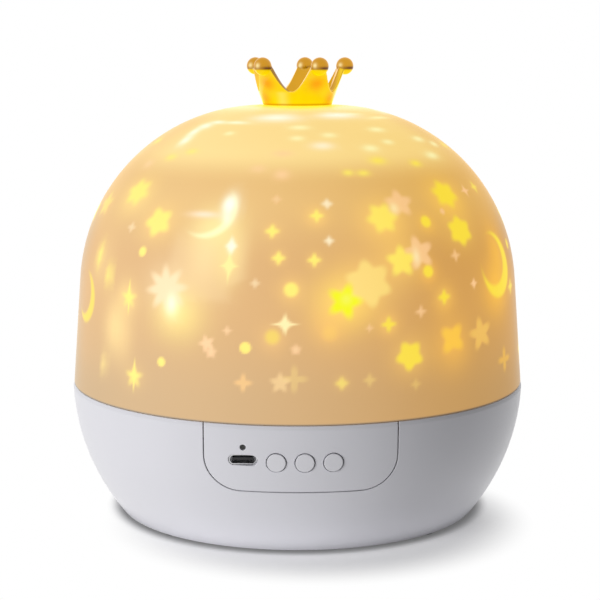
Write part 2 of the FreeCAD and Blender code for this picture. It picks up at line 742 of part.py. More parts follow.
def make_switches():
    housings = []
    for index in range(len(BUTTON_NAMES)):
        x = button_x(index)
        case = block(size.switch_width, size.switch_depth, size.switch_height,
                     x - size.switch_width / 2, -switch_front, board_top)
        well_width = size.plunger_width + size.plunger_gap * 2
        well_height = size.plunger_height + size.plunger_gap * 2
        well_depth = size.plunger_inside + size.button_travel + size.plunger_gap
        well = block(well_width, well_depth + OVERCUT, well_height, x - well_width / 2,
                     -switch_front - OVERCUT, button_height - well_height / 2)
        housings.append(cut(case, well))
    node(group(housings), "switch_housings")


def make_sockets():
    """Three sockets at the board's rear edge, each open to the rear."""
    wall = size.socket_wall
    sockets = []
    for index in (-1, 0, 1):
        left = board_middle + size.socket_pitch * index - size.socket_width / 2
        front = -board_back - size.socket_depth
        shell = block(size.socket_width, size.socket_depth, size.socket_height, left, front, board_top)
        mouth = block(size.socket_width - wall * 2, size.socket_depth - size.socket_back + OVERCUT,
                      size.socket_height - wall * 2, left + wall, front + size.socket_back,
                      board_top + wall)
        sockets.append(cut(shell, mouth))
    node(group(sockets), "wire_sockets")


def make_chips():
    """The driver chip, the charging chip beside it, and behind them two capacitors and a resistor."""
    driver_row = -board_front + size.chip_setback
    capacitor_row = -board_front + size.capacitor_setback
    charger_left = board_middle + size.charger_side
    capacitor = board_middle - size.capacitor_pitch / 2
    node(group([
        block(size.driver_width, size.driver_depth, size.driver_height,
              board_middle - size.driver_width / 2, driver_row, board_top),
        block(size.charger_width, size.charger_width, size.charger_height, charger_left, driver_row,
              board_top),
        cylinder(size.capacitor_radius, size.capacitor_height, capacitor, capacitor_row, board_top),
        cylinder(size.capacitor_radius, size.capacitor_height, capacitor + size.capacitor_pitch,
                 capacitor_row, board_top),
        block(size.resistor_width, size.resistor_depth, size.resistor_height, charger_left,
              capacitor_row, board_top),
    ]), "board_chips")


def make_port():
    outer = round_slot(size.port_width, size.port_thickness, size.port_length,
                       size.port_side, -port_front, port_height)
    depth = size.port_length - size.port_back
    inner = round_slot(size.port_width - size.port_wall * 2, size.port_thickness - size.port_wall * 2,
                       depth + OVERCUT, size.port_side, -port_front - OVERCUT, port_height)
    node(cut(outer, inner), "usb_shell")
    node(block(size.tongue_width, depth - size.tongue_setback, size.tongue_thickness,
               size.port_side - size.tongue_width / 2, -port_front + size.tongue_setback,
               port_height - size.tongue_thickness / 2), "usb_tongue")


def make_indicator():
    x = size.port_side
    row = board_front - size.indicator_setback
    node(block(size.indicator_width, size.indicator_depth, size.indicator_height,
               x - size.indicator_width / 2, -row - size.indicator_depth / 2, board_top), "indicator_led")
    radius = size.pinhole_radius - size.pipe_gap
    mouth = root(bowl_radius(pinhole_height) * bowl_radius(pinhole_height) - x * x)
    front = mouth - size.pipe_setback
    foot = board_top + size.indicator_height + size.pipe_foot_gap
    node(fuse(
        cylinder(radius, front - row, x, -front, pinhole_height, "Y"),
        ball(radius, x, -row, pinhole_height),
        cylinder(radius, pinhole_height - foot, x, -row, foot),
    ), "light_pipe")


def make_deck():
    shoulder_radius, shoulder_height = dome_shoulder(size.dome_wall)
    rim_inner = dome_rim_radius - size.dome_wall
    collar_top = deck_top + size.collar_height
    slope = (rim_inner - shoulder_radius) / (shoulder_height - dome_foot)
    collar_outer = rim_inner - slope * (collar_top - dome_foot) - size.collar_clearance
    deck_radius = bowl_radius(deck_height, size.bowl_wall) - size.deck_clearance
    plate = revolved([
        (size.post_bore, deck_height),
        (deck_radius, deck_height),
        (deck_radius, deck_top),
        (collar_outer, deck_top),
        (collar_outer, collar_top),
        (collar_outer - size.collar_wall, collar_top),
        (collar_outer - size.collar_wall, deck_top),
        (size.post_bore, deck_top),
    ])
    bosses = []
    below = deck_height - OVERCUT
    through = size.deck_thickness + OVERCUT * 2
    holes = [cylinder(size.shaft_hole_radius, through, shaft_circle, 0, below)]
    for side in (-1, 1):
        bosses.append(cylinder(size.bracket_boss_radius, size.bracket_boss_height + BITE, shaft_circle,
                               bracket_screw_row * side, deck_height - size.bracket_boss_height))
        holes.append(cylinder(size.screw_radius, size.short_screw_length, shaft_circle,
                              bracket_screw_row * side,
                              deck_height - size.bracket_boss_height - size.bracket_wall))
    screws = []
    for step in range(4):
        x, y = turned(deck_boss_circle, 45 + 90 * step)
        holes.append(cylinder(size.screw_radius + size.screw_hole_gap, through, x, y, below))
        screws.append(screw(size.screw_length, x, y, deck_top))
    for step in range(3):
        x, y = turned(size.post_screw_circle, 120 * step)
        holes.append(cylinder(size.screw_radius + size.screw_hole_gap, through, x, y, below))
    node(cut(fuse(plate, *bosses), *holes), "deck")
    node(group(screws), "deck_screws")


def make_post():
    groove_inner = size.post_radius - size.ring_groove
    ring_top = ring_bottom + size.ring_thickness
    seat = size.led_board_radius + size.led_seat_gap
    seat_floor = post_top - size.led_board_thickness
    post = revolved([
        (size.post_bore, deck_top),
        (size.post_flange_radius, deck_top),
        (size.post_flange_radius, flange_top),
        (size.post_radius, flange_top),
        (size.post_radius, ring_bottom),
        (groove_inner, ring_bottom),
        (groove_inner, ring_top),
        (size.post_radius, ring_top),
        (size.post_radius, post_top),
        (seat, post_top),
        (seat, seat_floor),
        (size.post_bore, seat_floor),
    ])
    holes = []
    screws = []
    for step in range(3):
        x, y = turned(size.post_screw_circle, 120 * step)
        holes.append(cylinder(size.screw_radius, size.short_screw_length, x, y, deck_height))
        screws.append(screw(size.short_screw_length, x, y, deck_height, up=True))
    node(cut(post, *holes), "lamp_post")
    node(group(screws), "post_screws")
    node(ring(size.washer_radius, size.post_radius + size.bearing_gap, size.washer_thickness, 0, 0,
              flange_top), "thrust_washer")
    whole = ring(size.ring_radius, groove_inner, size.ring_thickness, 0, 0, ring_bottom)
    mouth = block(size.ring_mouth, size.ring_radius * 2, size.ring_thickness + OVERCUT * 2,
                  -size.ring_mouth / 2, 0, ring_bottom - OVERCUT)
    node(cut(whole, mouth), "retaining_ring")


def make_lamp():
    board = cylinder(size.led_board_radius, size.led_board_thickness, 0, 0,
                     post_top - size.led_board_thickness)
    node(board, "led_board")
    chips = []
    for side_x in (-0.5, 0.5):
        for side_y in (-0.5, 0.5):
            chips.append(block(size.led_size, size.led_size, size.led_height,
                               size.led_spacing * side_x - size.led_size / 2,
                               size.led_spacing * side_y - size.led_size / 2, post_top))
    node(group(chips), "led_chips")
    outer = size.post_radius
    inner = outer - size.lens_wall
    node(revolved([
        (inner, post_top),
        (outer, post_top),
        arc(outer, 0, post_top + outer, True),
        (0, post_top + inner),
        arc(inner, inner, post_top, False),
    ][1:]), "led_lens")


def make_motor():
    top = deck_height
    x = shaft_circle
    gearbox = block(size.motor_width, size.motor_depth, size.gearbox_length,
                    x - size.motor_width / 2, -size.motor_depth / 2, top - size.gearbox_length)
    can = common(
        cylinder(size.motor_width / 2, size.motor_length - size.gearbox_length, x, 0,
                 top - size.motor_length),
        block(size.motor_width, size.motor_depth, size.motor_length,
              x - size.motor_width / 2, -size.motor_depth / 2, top - size.motor_length))
    bore_depth = size.shaft_inside + size.shaft_end_gap
    bore = cylinder(size.shaft_radius + size.shaft_gap, bore_depth + OVERCUT, x, 0, top - bore_depth)
    node(cut(fuse(gearbox, can), bore), "gear_motor")

    inner = size.motor_depth / 2 + size.bracket_gap
    wall = size.bracket_wall
    ear_level = top - size.bracket_boss_height - wall
    floor_level = top - size.motor_length - size.bracket_gap - wall
    left = x - size.bracket_width / 2
    strap = [block(size.bracket_width, (inner + wall) * 2, wall, left, -inner - wall, floor_level)]
    screws = []
    holes = []
    for side in (-1, 1):
        wall_y = inner if side > 0 else -inner - wall
        strap_height = ear_level + wall - floor_level
        strap.append(block(size.bracket_width, wall, strap_height, left, wall_y, floor_level))
        ear_y = inner if side > 0 else -inner - wall - size.bracket_ear
        strap.append(block(size.bracket_width, size.bracket_ear + wall, wall, left, ear_y, ear_level))
        holes.append(cylinder(size.screw_radius + size.screw_hole_gap, wall + OVERCUT * 2, x,
                              bracket_screw_row * side, ear_level - OVERCUT))
        screws.append(screw(size.short_screw_length, x, bracket_screw_row * side, ear_level, up=True))
    node(cut(fuse(*strap), *holes), "motor_bracket")
    node(group(screws), "bracket_screws")

    shaft_bottom = top - size.shaft_inside
    shaft_top = deck_top + size.pinion_lift + size.pinion_face
    node(cylinder(size.shaft_radius, shaft_top - shaft_bottom, x, 0, shaft_bottom), "motor_shaft")


# Tooth proportions, in degrees and in modules.
PRESSURE_ANGLE = 20
ADDENDUM = 0.8
DEDENDUM = 1.0
FLANK_START = 0.1


def gear_face(teeth, module, thinning, first_angle):
    """A flat face with involute teeth; the first tooth is centred on first_angle, in degrees."""
    pressure = math.radians(PRESSURE_ANGLE)
    pitch = module * teeth / 2
    base = pitch * math.cos(pressure)
    tip = pitch + module * ADDENDUM
    foot = pitch - module * DEDENDUM
    involute = math.tan(pressure) - pressure
    half_tooth = math.pi / (2 * teeth) - thinning / (2 * pitch) + involute

    def flank_angle(radius):
        if radius <= base:
            return half_tooth
        slant = math.acos(base / radius)
        return half_tooth - (math.tan(slant) - slant)

    def point(radius, angle):
        return Vector(radius * math.cos(angle), radius * math.sin(angle), 0)

    levels = [foot, max(base, foot + module * FLANK_START), pitch, tip]
    corners = []
    for tooth in range(teeth):
        middle = math.radians(first_angle) + 2 * math.pi * tooth / teeth
        corners += [point(radius, middle - flank_angle(radius)) for radius in levels]
        corners += [point(radius, middle + flank_angle(radius)) for radius in reversed(levels)]
    return Part.Face(Part.makePolygon(corners + corners[:1]))


def make_gears():
    """The toothed pieces, whose involute flanks come from a formula in place of a sketch."""
    module = size.gear_module.value
    teeth = int(round(size.gear_teeth.value))
    thinning = size.gear_backlash.value
    face = gear_face(teeth, module, thinning, 180.0 / teeth)
    toothed = face.extrude(Vector(0, 0, size.gear_face.value))
    foot_radius = size.gear_module * (size.gear_teeth / 2 - DEDENDUM)
    hole = Part.makeCylinder((foot_radius - size.gear_rim).value, size.gear_face.value + OVERCUT * 2,
                             Vector(0, 0, -OVERCUT))
    ring_gear = document.addObject("Part::Feature", "ring_gear")
    ring_gear.Shape = toothed.cut(hole)
    place(ring_gear, 0, 0, gear_bottom)

    count = int(round(size.pinion_teeth.value))
    blank = gear_face(count, module, thinning, 180.0).extrude(Vector(0, 0, size.pinion_face.value))
    bore = Part.makeCylinder(size.shaft_radius.value, size.pinion_face.value + OVERCUT * 2,
                             Vector(0, 0, -OVERCUT))
    pinion = document.addObject("Part::Feature", "pinion")
    pinion.Shape = blank.cut(bore)
    place(pinion, shaft_circle, 0, deck_top + size.pinion_lift)
    node(pinion, "drive_pinion")
    return ring_gear


def make_turntable(ring_gear):
    bore = size.post_radius + size.bearing_gap
    seat_outer = (drum_radius - size.drum_wall - size.drum_seat_gap
                  - drum_slope * size.drum_ring_height)
    seat_inner = seat_outer - size.drum_ring_wall
    seat_top = hub_top + size.drum_ring_height
    plate = revolved([
        (bore, hub_bottom),
        (size.hub_radius, hub_bottom),
        (size.hub_radius, plate_bottom),
        (plate_radius, plate_bottom),
        (plate_radius, hub_top),
        (seat_outer, hub_top),
        (seat_outer, seat_top),
        (seat_inner, seat_top),
        (seat_inner, hub_top),
        (bore, hub_top),
    ])
    node(fuse(plate, ring_gear), "turntable")


def make_drum():
    wall = size.drum_wall
    corner = wall / 3
    node(revolved([
        (drum_radius, hub_top),
        (drum_shoulder_radius, drum_shoulder),
        arc(size.drum_crown_radius, drum_top_radius, drum_top, True),
        (0, drum_top),
        (0, drum_top - wall),
        (drum_top_radius - corner, drum_top - wall),
        arc(size.drum_crown_radius - wall, drum_shoulder_radius - wall, drum_shoulder - corner, False),
        (drum_radius - wall, hub_top),
    ]), "film_drum")


def star(points, outer, inner, turn=0.0):
    """Corners of a flat star."""
    corners = []
    for step in range(points * 2):
        radius = inner if step % 2 else outer
        angle = math.pi / 2 + math.radians(turn) + math.pi * step / points
        corners.append((radius * math.cos(angle), radius * math.sin(angle)))
    return corners


def prism(corners, start, length):
    """A flat outline in X and Z that is padded from a distance in front of the axis towards -Y."""
    points = [Vector(x, -start, z) for x, z in corners]
    return Part.Face(Part.makePolygon(points + points[:1])).extrude(Vector(0, -length, 0))


# Star windows: points, outer and inner radius as shares of the window size, turn in degrees.
WINDOW_KINDS = ((5, 1.0, 0.5, 0), (4, 0.75, 0.25, 0), (5, 0.8, 0.42, 36))
WINDOW_ROWS = 3
WINDOW_COLUMNS = 10
WINDOW_STAGGER = 0.08
TOP_RINGS = 4
TOP_RING_STEP = 6


def side_windows():
    """Star windows in rows round the side film, each row turned half a step from the last."""
    start = drum_shoulder_radius.value - size.drum_wall.value
    reach = drum_radius.value + size.film_gap.value + size.film_thickness.value + OVERCUT - start
    low = hub_top.value + size.film_margin.value
    high = drum_shoulder.value - size.film_margin.value
    row_step = (high - low) / WINDOW_ROWS
    outer = size.window_size.value
    kinds = [star(points, outer * tip, outer * waist, turn) for points, tip, waist, turn in WINDOW_KINDS]
    windows = []
    for row in range(WINDOW_ROWS):
        level = low + row_step * (row + 0.5)
        for step in range(WINDOW_COLUMNS):
            window = prism(kinds[(row + step) % len(kinds)], start, reach)
            window.translate(Vector(0, 0, level + row_step * WINDOW_STAGGER * (step % 3 - 1)))
            window.rotate(Vector(), Vector(0, 0, 1), 360 / WINDOW_COLUMNS * (step + 0.5 * (row % 2)))
            windows.append(window)
    return windows


def top_windows():
    """Round windows in rings on the top film."""
    deep = size.film_thickness.value + OVERCUT * 2
    windows = []
    for ring_number in range(1, TOP_RINGS + 1):
        ring_radius = drum_top_radius.value * ring_number / (TOP_RINGS + 1)
        count = TOP_RING_STEP * ring_number
        for step in range(count):
            angle = 2 * math.pi * (step + 0.5 * (ring_number % 2)) / count
            centre = Vector(ring_radius * math.cos(angle), ring_radius * math.sin(angle), -OVERCUT)
            windows.append(Part.makeCylinder(size.dot_radius.value, deep, centre))
    return windows


def window_tool(shapes):
    tool = document.addObject("Part::Feature", "windows")
    tool.Shape = Part.makeCompound(shapes)
    return tool


def make_films():
    low = hub_top + size.film_margin
    high = drum_shoulder - size.film_margin
    low_radius = drum_radius + size.film_gap - drum_slope * (low - hub_top)
    high_radius = drum_radius + size.film_gap - drum_slope * (high - hub_top)
    band = revolved([
        (low_radius, low),
        (low_radius + size.film_thickness, low),
        (high_radius + size.film_thickness, high),
        (high_radius, high),
    ])
    node(cut(band, window_tool(side_windows())), "side_film")
    disc = cylinder(drum_top_radius - size.film_margin / 2, size.film_thickness, 0, 0, drum_top)
    node(cut(disc, place(window_tool(top_windows()), 0, 0, drum_top)), "top_film")


def make_dome():
    inner_radius, inner_height = dome_shoulder(size.dome_wall)
    hole = size.crown_spigot_radius
    node(revolved([
        (dome_rim_radius - size.dome_wall, dome_foot),
        (dome_rim_radius, dome_foot),
        (dome_side_radius, dome_side_top),
        arc(dome_arc_radius, size.dome_flat_radius, dome_top, True),
        (hole, dome_top),
        (hole, dome_top - size.dome_wall),
        (size.dome_flat_radius, dome_top - size.dome_wall),
        arc(dome_arc_radius - size.dome_wall, inner_radius, inner_height, False),
    ]), "dome_shade")


def make_crown():
    foot = dome_top
    tip = foot + size.crown_tip_height
    slope = (size.crown_tip_radius - size.crown_foot_radius) / size.crown_tip_height
    wall = size.crown_wall
    floor_level = foot + size.crown_floor
    spigot = size.crown_spigot_radius
    spigot_bottom = foot - size.dome_wall - size.washer_thickness
    pilot_top = spigot_bottom + size.short_screw_length
    body = revolved([
        (size.screw_radius, spigot_bottom),
        (spigot, spigot_bottom),
        (spigot, foot),
        (size.crown_foot_radius, foot),
        (size.crown_tip_radius + wall / 2, tip),
        (size.crown_tip_radius - wall / 2, tip),
        (size.crown_foot_radius + slope * size.crown_floor - wall, floor_level),
        (0, floor_level),
        (0, pilot_top),
        (size.screw_radius, pilot_top),
    ])
    valley = foot + size.crown_valley_height + size.crown_valley_radius
    tips = int(round(size.crown_tips.value))
    gap = size.crown_tip_radius * 2 * math.sin(math.pi / tips) - size.crown_spike_width
    reach = size.crown_tip_radius * 2
    bottom_reach = size.crown_valley_radius * 0.8
    bottom_height = valley - size.crown_valley_radius * 0.6
    notch = padded("XZ_Plane", [
        (-bottom_reach, bottom_height),
        arc(size.crown_valley_radius, bottom_reach, bottom_height, True),
        (gap / 2, tip),
        (gap / 2, tip + size.crown_ball_radius),
        (-gap / 2, tip + size.crown_ball_radius),
        (-gap / 2, tip),
    ], reach)
    first = size.crown_turn.value
    notches = turned_copies(notch, tips, first + 180.0 / tips)
    balls = turned_copies(ball(size.crown_ball_radius, 0, -size.crown_tip_radius, tip), tips, first)
    node(fuse(cut(body, *notches), *balls), "crown")

    node(ring(size.crown_washer_radius, size.crown_spigot_radius + size.bearing_gap,
              size.washer_thickness, 0, 0, spigot_bottom), "crown_washer")
    node(screw(size.short_screw_length, 0, 0, spigot_bottom, up=True), "crown_screw")


def make_battery():
    axis_height = cover_top + size.cradle_floor + size.cradle_gap + size.cell_radius
    left = -size.cell_length / 2
    node(cylinder(size.cell_radius, size.cell_length, left, size.cell_row, axis_height, "X"),
         "battery_cell")
    trough = size.cell_radius + size.cradle_gap
    half = trough + size.cradle_wall
    length = size.cell_length - size.cradle_setback * 2
    cradle_top = axis_height - size.cradle_drop
    cradle = block(length, half * 2, cradle_top - cover_top, -length / 2, size.cell_row - half, cover_top)
    bed = cylinder(trough, size.cell_length, left, size.cell_row, axis_height, "X")
    node(cut(cradle, bed), "battery_cradle")
    hoop = cut(cylinder(trough + size.strap_wall, size.strap_width, -size.strap_width / 2,
                        size.cell_row, axis_height, "X"), bed)
    upper = block(size.strap_width, half * 4, half * 2, -size.strap_width / 2,
                  size.cell_row - half * 2, cradle_top)
    node(common(hoop, upper), "battery_strap")
    tabs = []
    for start in (left - size.tab_thickness, left + size.cell_length):
        tabs.append(block(size.tab_thickness, size.tab_width, size.tab_width, start,
                          size.cell_row - size.tab_width / 2, axis_height - size.tab_width / 2))
    node(group(tabs), "battery_tabs")
    return axis_height


LEAD_ARC_SHARE = 0.45


def lead(points):
    """A round lead along straight runs joined by tangent arcs."""
    runs = [Vector(*[as_size(part).value for part in point]) for point in points]
    edges = []
    start = runs[0]
    for before, corner, after in zip(runs, runs[1:], runs[2:]):
        back = (before - corner).normalize()
        on = (after - corner).normalize()
        shorter = min((before - corner).Length, (after - corner).Length)
        reach = LEAD_ARC_SHARE * shorter
        first = corner + back * reach
        last = corner + on * reach
        turn = math.pi - back.getAngle(on)
        radius = reach / math.tan(turn / 2)
        centre = corner + (back + on).normalize() * math.hypot(radius, reach)
        middle = centre + (corner - centre).normalize() * radius
        edges.append(Part.LineSegment(start, first).toShape())
        edges.append(Part.Arc(first, middle, last).toShape())
        start = last
    edges.append(Part.LineSegment(start, runs[-1]).toShape())
    path = Part.Wire(edges)
    circle = Part.Circle(runs[0], (runs[1] - runs[0]).normalize(), size.lead_radius.value)
    return path.makePipeShell([Part.Wire([circle.toShape()])], True, False)


def make_leads(cell_height):
    """Three pairs of leads, each from what it feeds to its socket on the main board."""
    level = board_top + size.socket_height / 2
    turn = -board_back + size.lead_exit
    motor_end = deck_height - size.motor_length
    terminal = shaft_circle - size.bracket_width / 2 - size.lead_radius * 2
    pairs = {"led_leads": [], "motor_leads": [], "battery_leads": []}
    for side in (-1, 1):
        offset = size.lead_spacing / 2 * side
        socket = board_middle + offset
        pairs["led_leads"].append(lead([
            (offset, 0, post_top - size.led_board_thickness),
            (offset, 0, level),
            (socket, turn, level),
            (socket, -board_back, level),
        ]))
        socket = board_middle + size.socket_pitch + offset
        pairs["motor_leads"].append(lead([
            (terminal, offset, motor_end),
            (terminal, offset, motor_end - size.motor_lead_drop),
            (shaft_circle - size.motor_lead_side - offset * 2, -size.motor_lead_row + offset * 2,
             motor_end - size.motor_lead_drop),
            (socket, turn + size.lead_spacing, motor_end + size.motor_lead_rise),
            (socket, turn - size.lead_spacing, level),
            (socket, -board_back, level),
        ]))
        socket = board_middle - size.socket_pitch + offset
        end = (size.cell_length / 2 + size.tab_thickness + size.lead_radius) * side
        pairs["battery_leads"].append(lead([
            (end, size.cell_row, cell_height),
            (end, size.cell_row, cell_height + size.battery_lead_rise),
            (socket + size.battery_lead_spread * side, -board_back + size.battery_lead_row,
             cell_height + size.battery_lead_level),
            (socket, turn, level),
            (socket, -board_back, level),
        ]))
    for name, shapes in pairs.items():
        piece = document.addObject("Part::Feature", name)
        piece.Shape = Part.makeCompound(shapes)
        piece.Placement = FreeCAD.Placement()
        node(piece, name)


def build():
    make_bowl()
    make_bottom()
    make_panel()
    make_buttons()
    make_board()
    make_switches()
    make_sockets()
    make_chips()
    make_port()
    make_indicator()
    make_deck()
    make_post()
    make_lamp()
    make_motor()
    make_turntable(make_gears())
    make_drum()
    make_films()
    make_dome()
    make_crown()
    make_leads(make_battery())


def check():
    """Stops on a failed feature or an empty or broken shape."""
    for item in document.Objects:
        if "Invalid" in item.State or "Error" in item.State:
            raise RuntimeError("%s (%s) failed: %s" % (item.Name, item.Label, item.State))
    for item in nodes:
        if item.Shape.isNull() or not item.Shape.isValid() or not item.Shape.Solids:
            raise RuntimeError("%s has no valid solid" % item.Label)


build()
document.recompute()
check()
os.makedirs("parts", exist_ok=True)
for item in nodes:
    item.Shape.exportStep("parts/%s.step" % item.Label)
    print(item.Label, len(item.Shape.Solids), round(item.Shape.Volume, 2))
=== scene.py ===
"""Star night light projector: finish of the lamp, its lit dome and its clear crown.

+Z is up and the control panel faces -Y. Azimuths are in degrees from the front (-Y) towards +X.
The scene is in metres. Outlines, heights and radii are written in millimetres and made metres by MM.
"""

import math

import bmesh
import bpy
import numpy as np
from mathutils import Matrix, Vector


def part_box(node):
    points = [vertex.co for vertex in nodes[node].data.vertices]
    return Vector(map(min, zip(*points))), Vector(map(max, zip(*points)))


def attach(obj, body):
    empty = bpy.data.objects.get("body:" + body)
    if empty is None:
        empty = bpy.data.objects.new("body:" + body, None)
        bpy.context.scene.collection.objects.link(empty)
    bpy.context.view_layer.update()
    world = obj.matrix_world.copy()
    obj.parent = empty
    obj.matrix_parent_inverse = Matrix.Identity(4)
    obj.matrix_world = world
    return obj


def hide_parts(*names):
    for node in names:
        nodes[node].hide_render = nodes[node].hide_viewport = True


MM = 0.001
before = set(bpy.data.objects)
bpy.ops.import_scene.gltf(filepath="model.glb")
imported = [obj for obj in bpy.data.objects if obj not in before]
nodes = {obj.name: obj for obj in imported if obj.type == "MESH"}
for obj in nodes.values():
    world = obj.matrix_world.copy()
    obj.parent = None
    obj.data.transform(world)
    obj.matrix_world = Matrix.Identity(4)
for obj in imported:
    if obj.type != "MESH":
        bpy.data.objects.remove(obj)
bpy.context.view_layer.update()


# Camera, as the photograph was taken: slightly left of the front and looking down.
CAMERA_DISTANCE = 567 * MM
CAMERA_HEIGHT = 160.8 * MM
CAMERA_AZIMUTH = -0.83
CAMERA_PITCH = 8.77
CAMERA_LENS = 96.08
CAMERA_NEAREST = 0.01
CAMERA_FARTHEST = 20
SENSOR_WIDTH = 36.0
PHOTO_WIDTH = 600
AXIS_PIXEL = 297.5


def make_camera():
    data = bpy.data.cameras.new("photo_camera")
    data.lens = CAMERA_LENS
    data.sensor_width = SENSOR_WIDTH
    data.shift_x = (PHOTO_WIDTH / 2 - AXIS_PIXEL) / PHOTO_WIDTH
    data.clip_start = CAMERA_NEAREST
    data.clip_end = CAMERA_FARTHEST
    camera = bpy.data.objects.new("photo_camera", data)
    angle = math.radians(CAMERA_AZIMUTH)
    camera.location = (CAMERA_DISTANCE * math.sin(angle), -CAMERA_DISTANCE * math.cos(angle), CAMERA_HEIGHT)
    camera.rotation_euler = (math.radians(90 - CAMERA_PITCH), 0, angle)
    bpy.context.scene.collection.objects.link(camera)
    bpy.context.scene.camera = camera


class Nodes:
    """A short way to write a node tree."""

    def __init__(self, tree):
        self.tree = tree
        tree.nodes.clear()

    def add(self, kind, inputs=None, **settings):
        """Adds a node. Each of its inputs is a plain value, or another node and the name of its output."""
        made = self.tree.nodes.new("ShaderNode" + kind)
        for name, value in settings.items():
            setattr(made, name, value)
        for name, value in (inputs or {}).items():
            if isinstance(value, tuple) and isinstance(value[0], bpy.types.Node):
                source, output = value
                self.tree.links.new(source.outputs[output], made.inputs[name])
            else:
                made.inputs[name].default_value = value
        return made


def new_material(name):
    material = bpy.data.materials.new(name)
    material.use_nodes = True
    return material, Nodes(material.node_tree)


GRAIN_SIZE = 0.0006
GRAIN_HEIGHT = 0.0001
GRAIN_BUMP = 0.04
GRAIN_DETAIL = 3
DRIFT_SIZE = 0.04
DRIFT_DETAIL = 2
COLOUR_DRIFT = 0.03
ROUGHNESS_DRIFT = 0.15
COAT_ROUGHNESS = 0.08
BEVEL_SAMPLES = 8


def plastic(name, colour, roughness, coat, metallic, alpha, emission, edge):
    """Moulded plastic or plain metal: a fine grain in the bump and the roughness, a faint colour drift.

    With an edge radius, its sharp edges catch the light as rounded ones.
    """
    material, tree = new_material(name)
    place = (tree.add("TexCoord"), "Object")
    grain = (tree.add("TexNoise", {"Vector": place, "Scale": 1 / GRAIN_SIZE,
                                   "Detail": GRAIN_DETAIL}), "Fac")
    broad = tree.add("TexNoise", {"Vector": place, "Scale": 1 / DRIFT_SIZE, "Detail": DRIFT_DETAIL})
    drift = tree.add("MapRange", {"Value": (broad, "Fac"), "To Min": 1 - COLOUR_DRIFT,
                                  "To Max": 1 + COLOUR_DRIFT})
    shade = tree.add("VectorMath", {"Vector": colour, "Scale": (drift, "Result")}, operation="SCALE")
    rough = tree.add("MapRange", {"Value": grain, "To Min": roughness * (1 - ROUGHNESS_DRIFT),
                                  "To Max": roughness * (1 + ROUGHNESS_DRIFT)})
    relief = {"Height": grain, "Strength": GRAIN_BUMP, "Distance": GRAIN_HEIGHT}
    if edge:
        relief["Normal"] = (tree.add("Bevel", {"Radius": edge}, samples=BEVEL_SAMPLES), "Normal")
    finish = {
        "Base Color": (shade, "Vector"), "Roughness": (rough, "Result"),
        "Normal": (tree.add("Bump", relief), "Normal"), "Metallic": metallic, "Alpha": alpha,
        "Coat Weight": coat, "Coat Roughness": COAT_ROUGHNESS,
    }
    if emission:
        finish["Emission Color"] = (shade, "Vector")
        finish["Emission Strength"] = emission
    shader = tree.add("BsdfPrincipled", finish)
    tree.add("OutputMaterial", {"Surface": (shader, "BSDF")})
    return material


def dress(material, *names):
    """Gives CAD nodes a material in place of the one that they were packed with."""
    for name in names:
        mesh = nodes[name].data
        mesh.materials.clear()
        mesh.materials.append(material)


def new_object(name, mesh, material, body, stands_for):
    """A piece of the scene that rides on a body and takes a CAD node's place."""
    made = bpy.data.objects.new(name, mesh)
    bpy.context.scene.collection.objects.link(made)
    mesh.materials.clear()
    mesh.materials.append(material)
    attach(made, body)
    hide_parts(stands_for)


def paint_mesh(mesh, colours, milk=1.0):
    """Shades a mesh smoothly and stores the glow of its points, with their milkiness as its alpha."""
    stored = np.ones((len(colours), 4), np.float32)
    stored[:, :3] = colours
    stored[:, 3] = milk
    layer = mesh.attributes.new("glow", "FLOAT_COLOR", "POINT")
    layer.data.foreach_set("color", stored.ravel())
    mesh.polygons.foreach_set("use_smooth", [True] * len(mesh.polygons))


# The dome: the CAD solid's own outline, with its outer face cut finely where light spots lie.
DOME_SIDE_RADIUS = 76.9
DOME_SIDE_TOP = 83.2
DOME_FLAT_RADIUS = 12.8
DOME_WALL = 2.0
DOME_HOLE_RADIUS = 4.0
dome_low, dome_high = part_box("dome_shade")
DOME_RIM_RADIUS = dome_high.x / MM
DOME_FOOT = dome_low.z / MM
DOME_TOP = dome_high.z / MM
DOME_LEAN = math.atan2(DOME_RIM_RADIUS - DOME_SIDE_RADIUS, DOME_SIDE_TOP - DOME_FOOT)
DOME_RISE = DOME_TOP - DOME_SIDE_TOP
DOME_REACH = DOME_SIDE_RADIUS - DOME_FLAT_RADIUS
DOME_ARC = (DOME_REACH ** 2 + DOME_RISE ** 2) / (2 * DOME_RISE)
DOME_ARC_HEIGHT = DOME_TOP - DOME_ARC
DOME_ARC_START = math.atan2(DOME_SIDE_TOP - DOME_ARC_HEIGHT, DOME_REACH)
DOME_SIDE_LENGTH = math.hypot(DOME_RIM_RADIUS - DOME_SIDE_RADIUS, DOME_SIDE_TOP - DOME_FOOT)
DOME_ARC_LENGTH = DOME_ARC * (math.pi / 2 - DOME_ARC_START)
DOME_FLAT_LENGTH = DOME_FLAT_RADIUS - DOME_HOLE_RADIUS
DOME_LENGTH = DOME_SIDE_LENGTH + DOME_ARC_LENGTH + DOME_FLAT_LENGTH


def dome_radius(height):
    """Radius of the dome's outer face at a height."""
    if height <= DOME_SIDE_TOP:
        share = (height - DOME_FOOT) / (DOME_SIDE_TOP - DOME_FOOT)
        return DOME_RIM_RADIUS + (DOME_SIDE_RADIUS - DOME_RIM_RADIUS) * share
    return DOME_FLAT_RADIUS + math.sqrt(max(DOME_ARC ** 2 - (height - DOME_ARC_HEIGHT) ** 2, 0))


def cap_height(radius):
    """Height of the dome's outer face at a distance from the axis, above its side."""
    return DOME_ARC_HEIGHT + math.sqrt(DOME_ARC ** 2 - max(radius - DOME_FLAT_RADIUS, 0) ** 2)


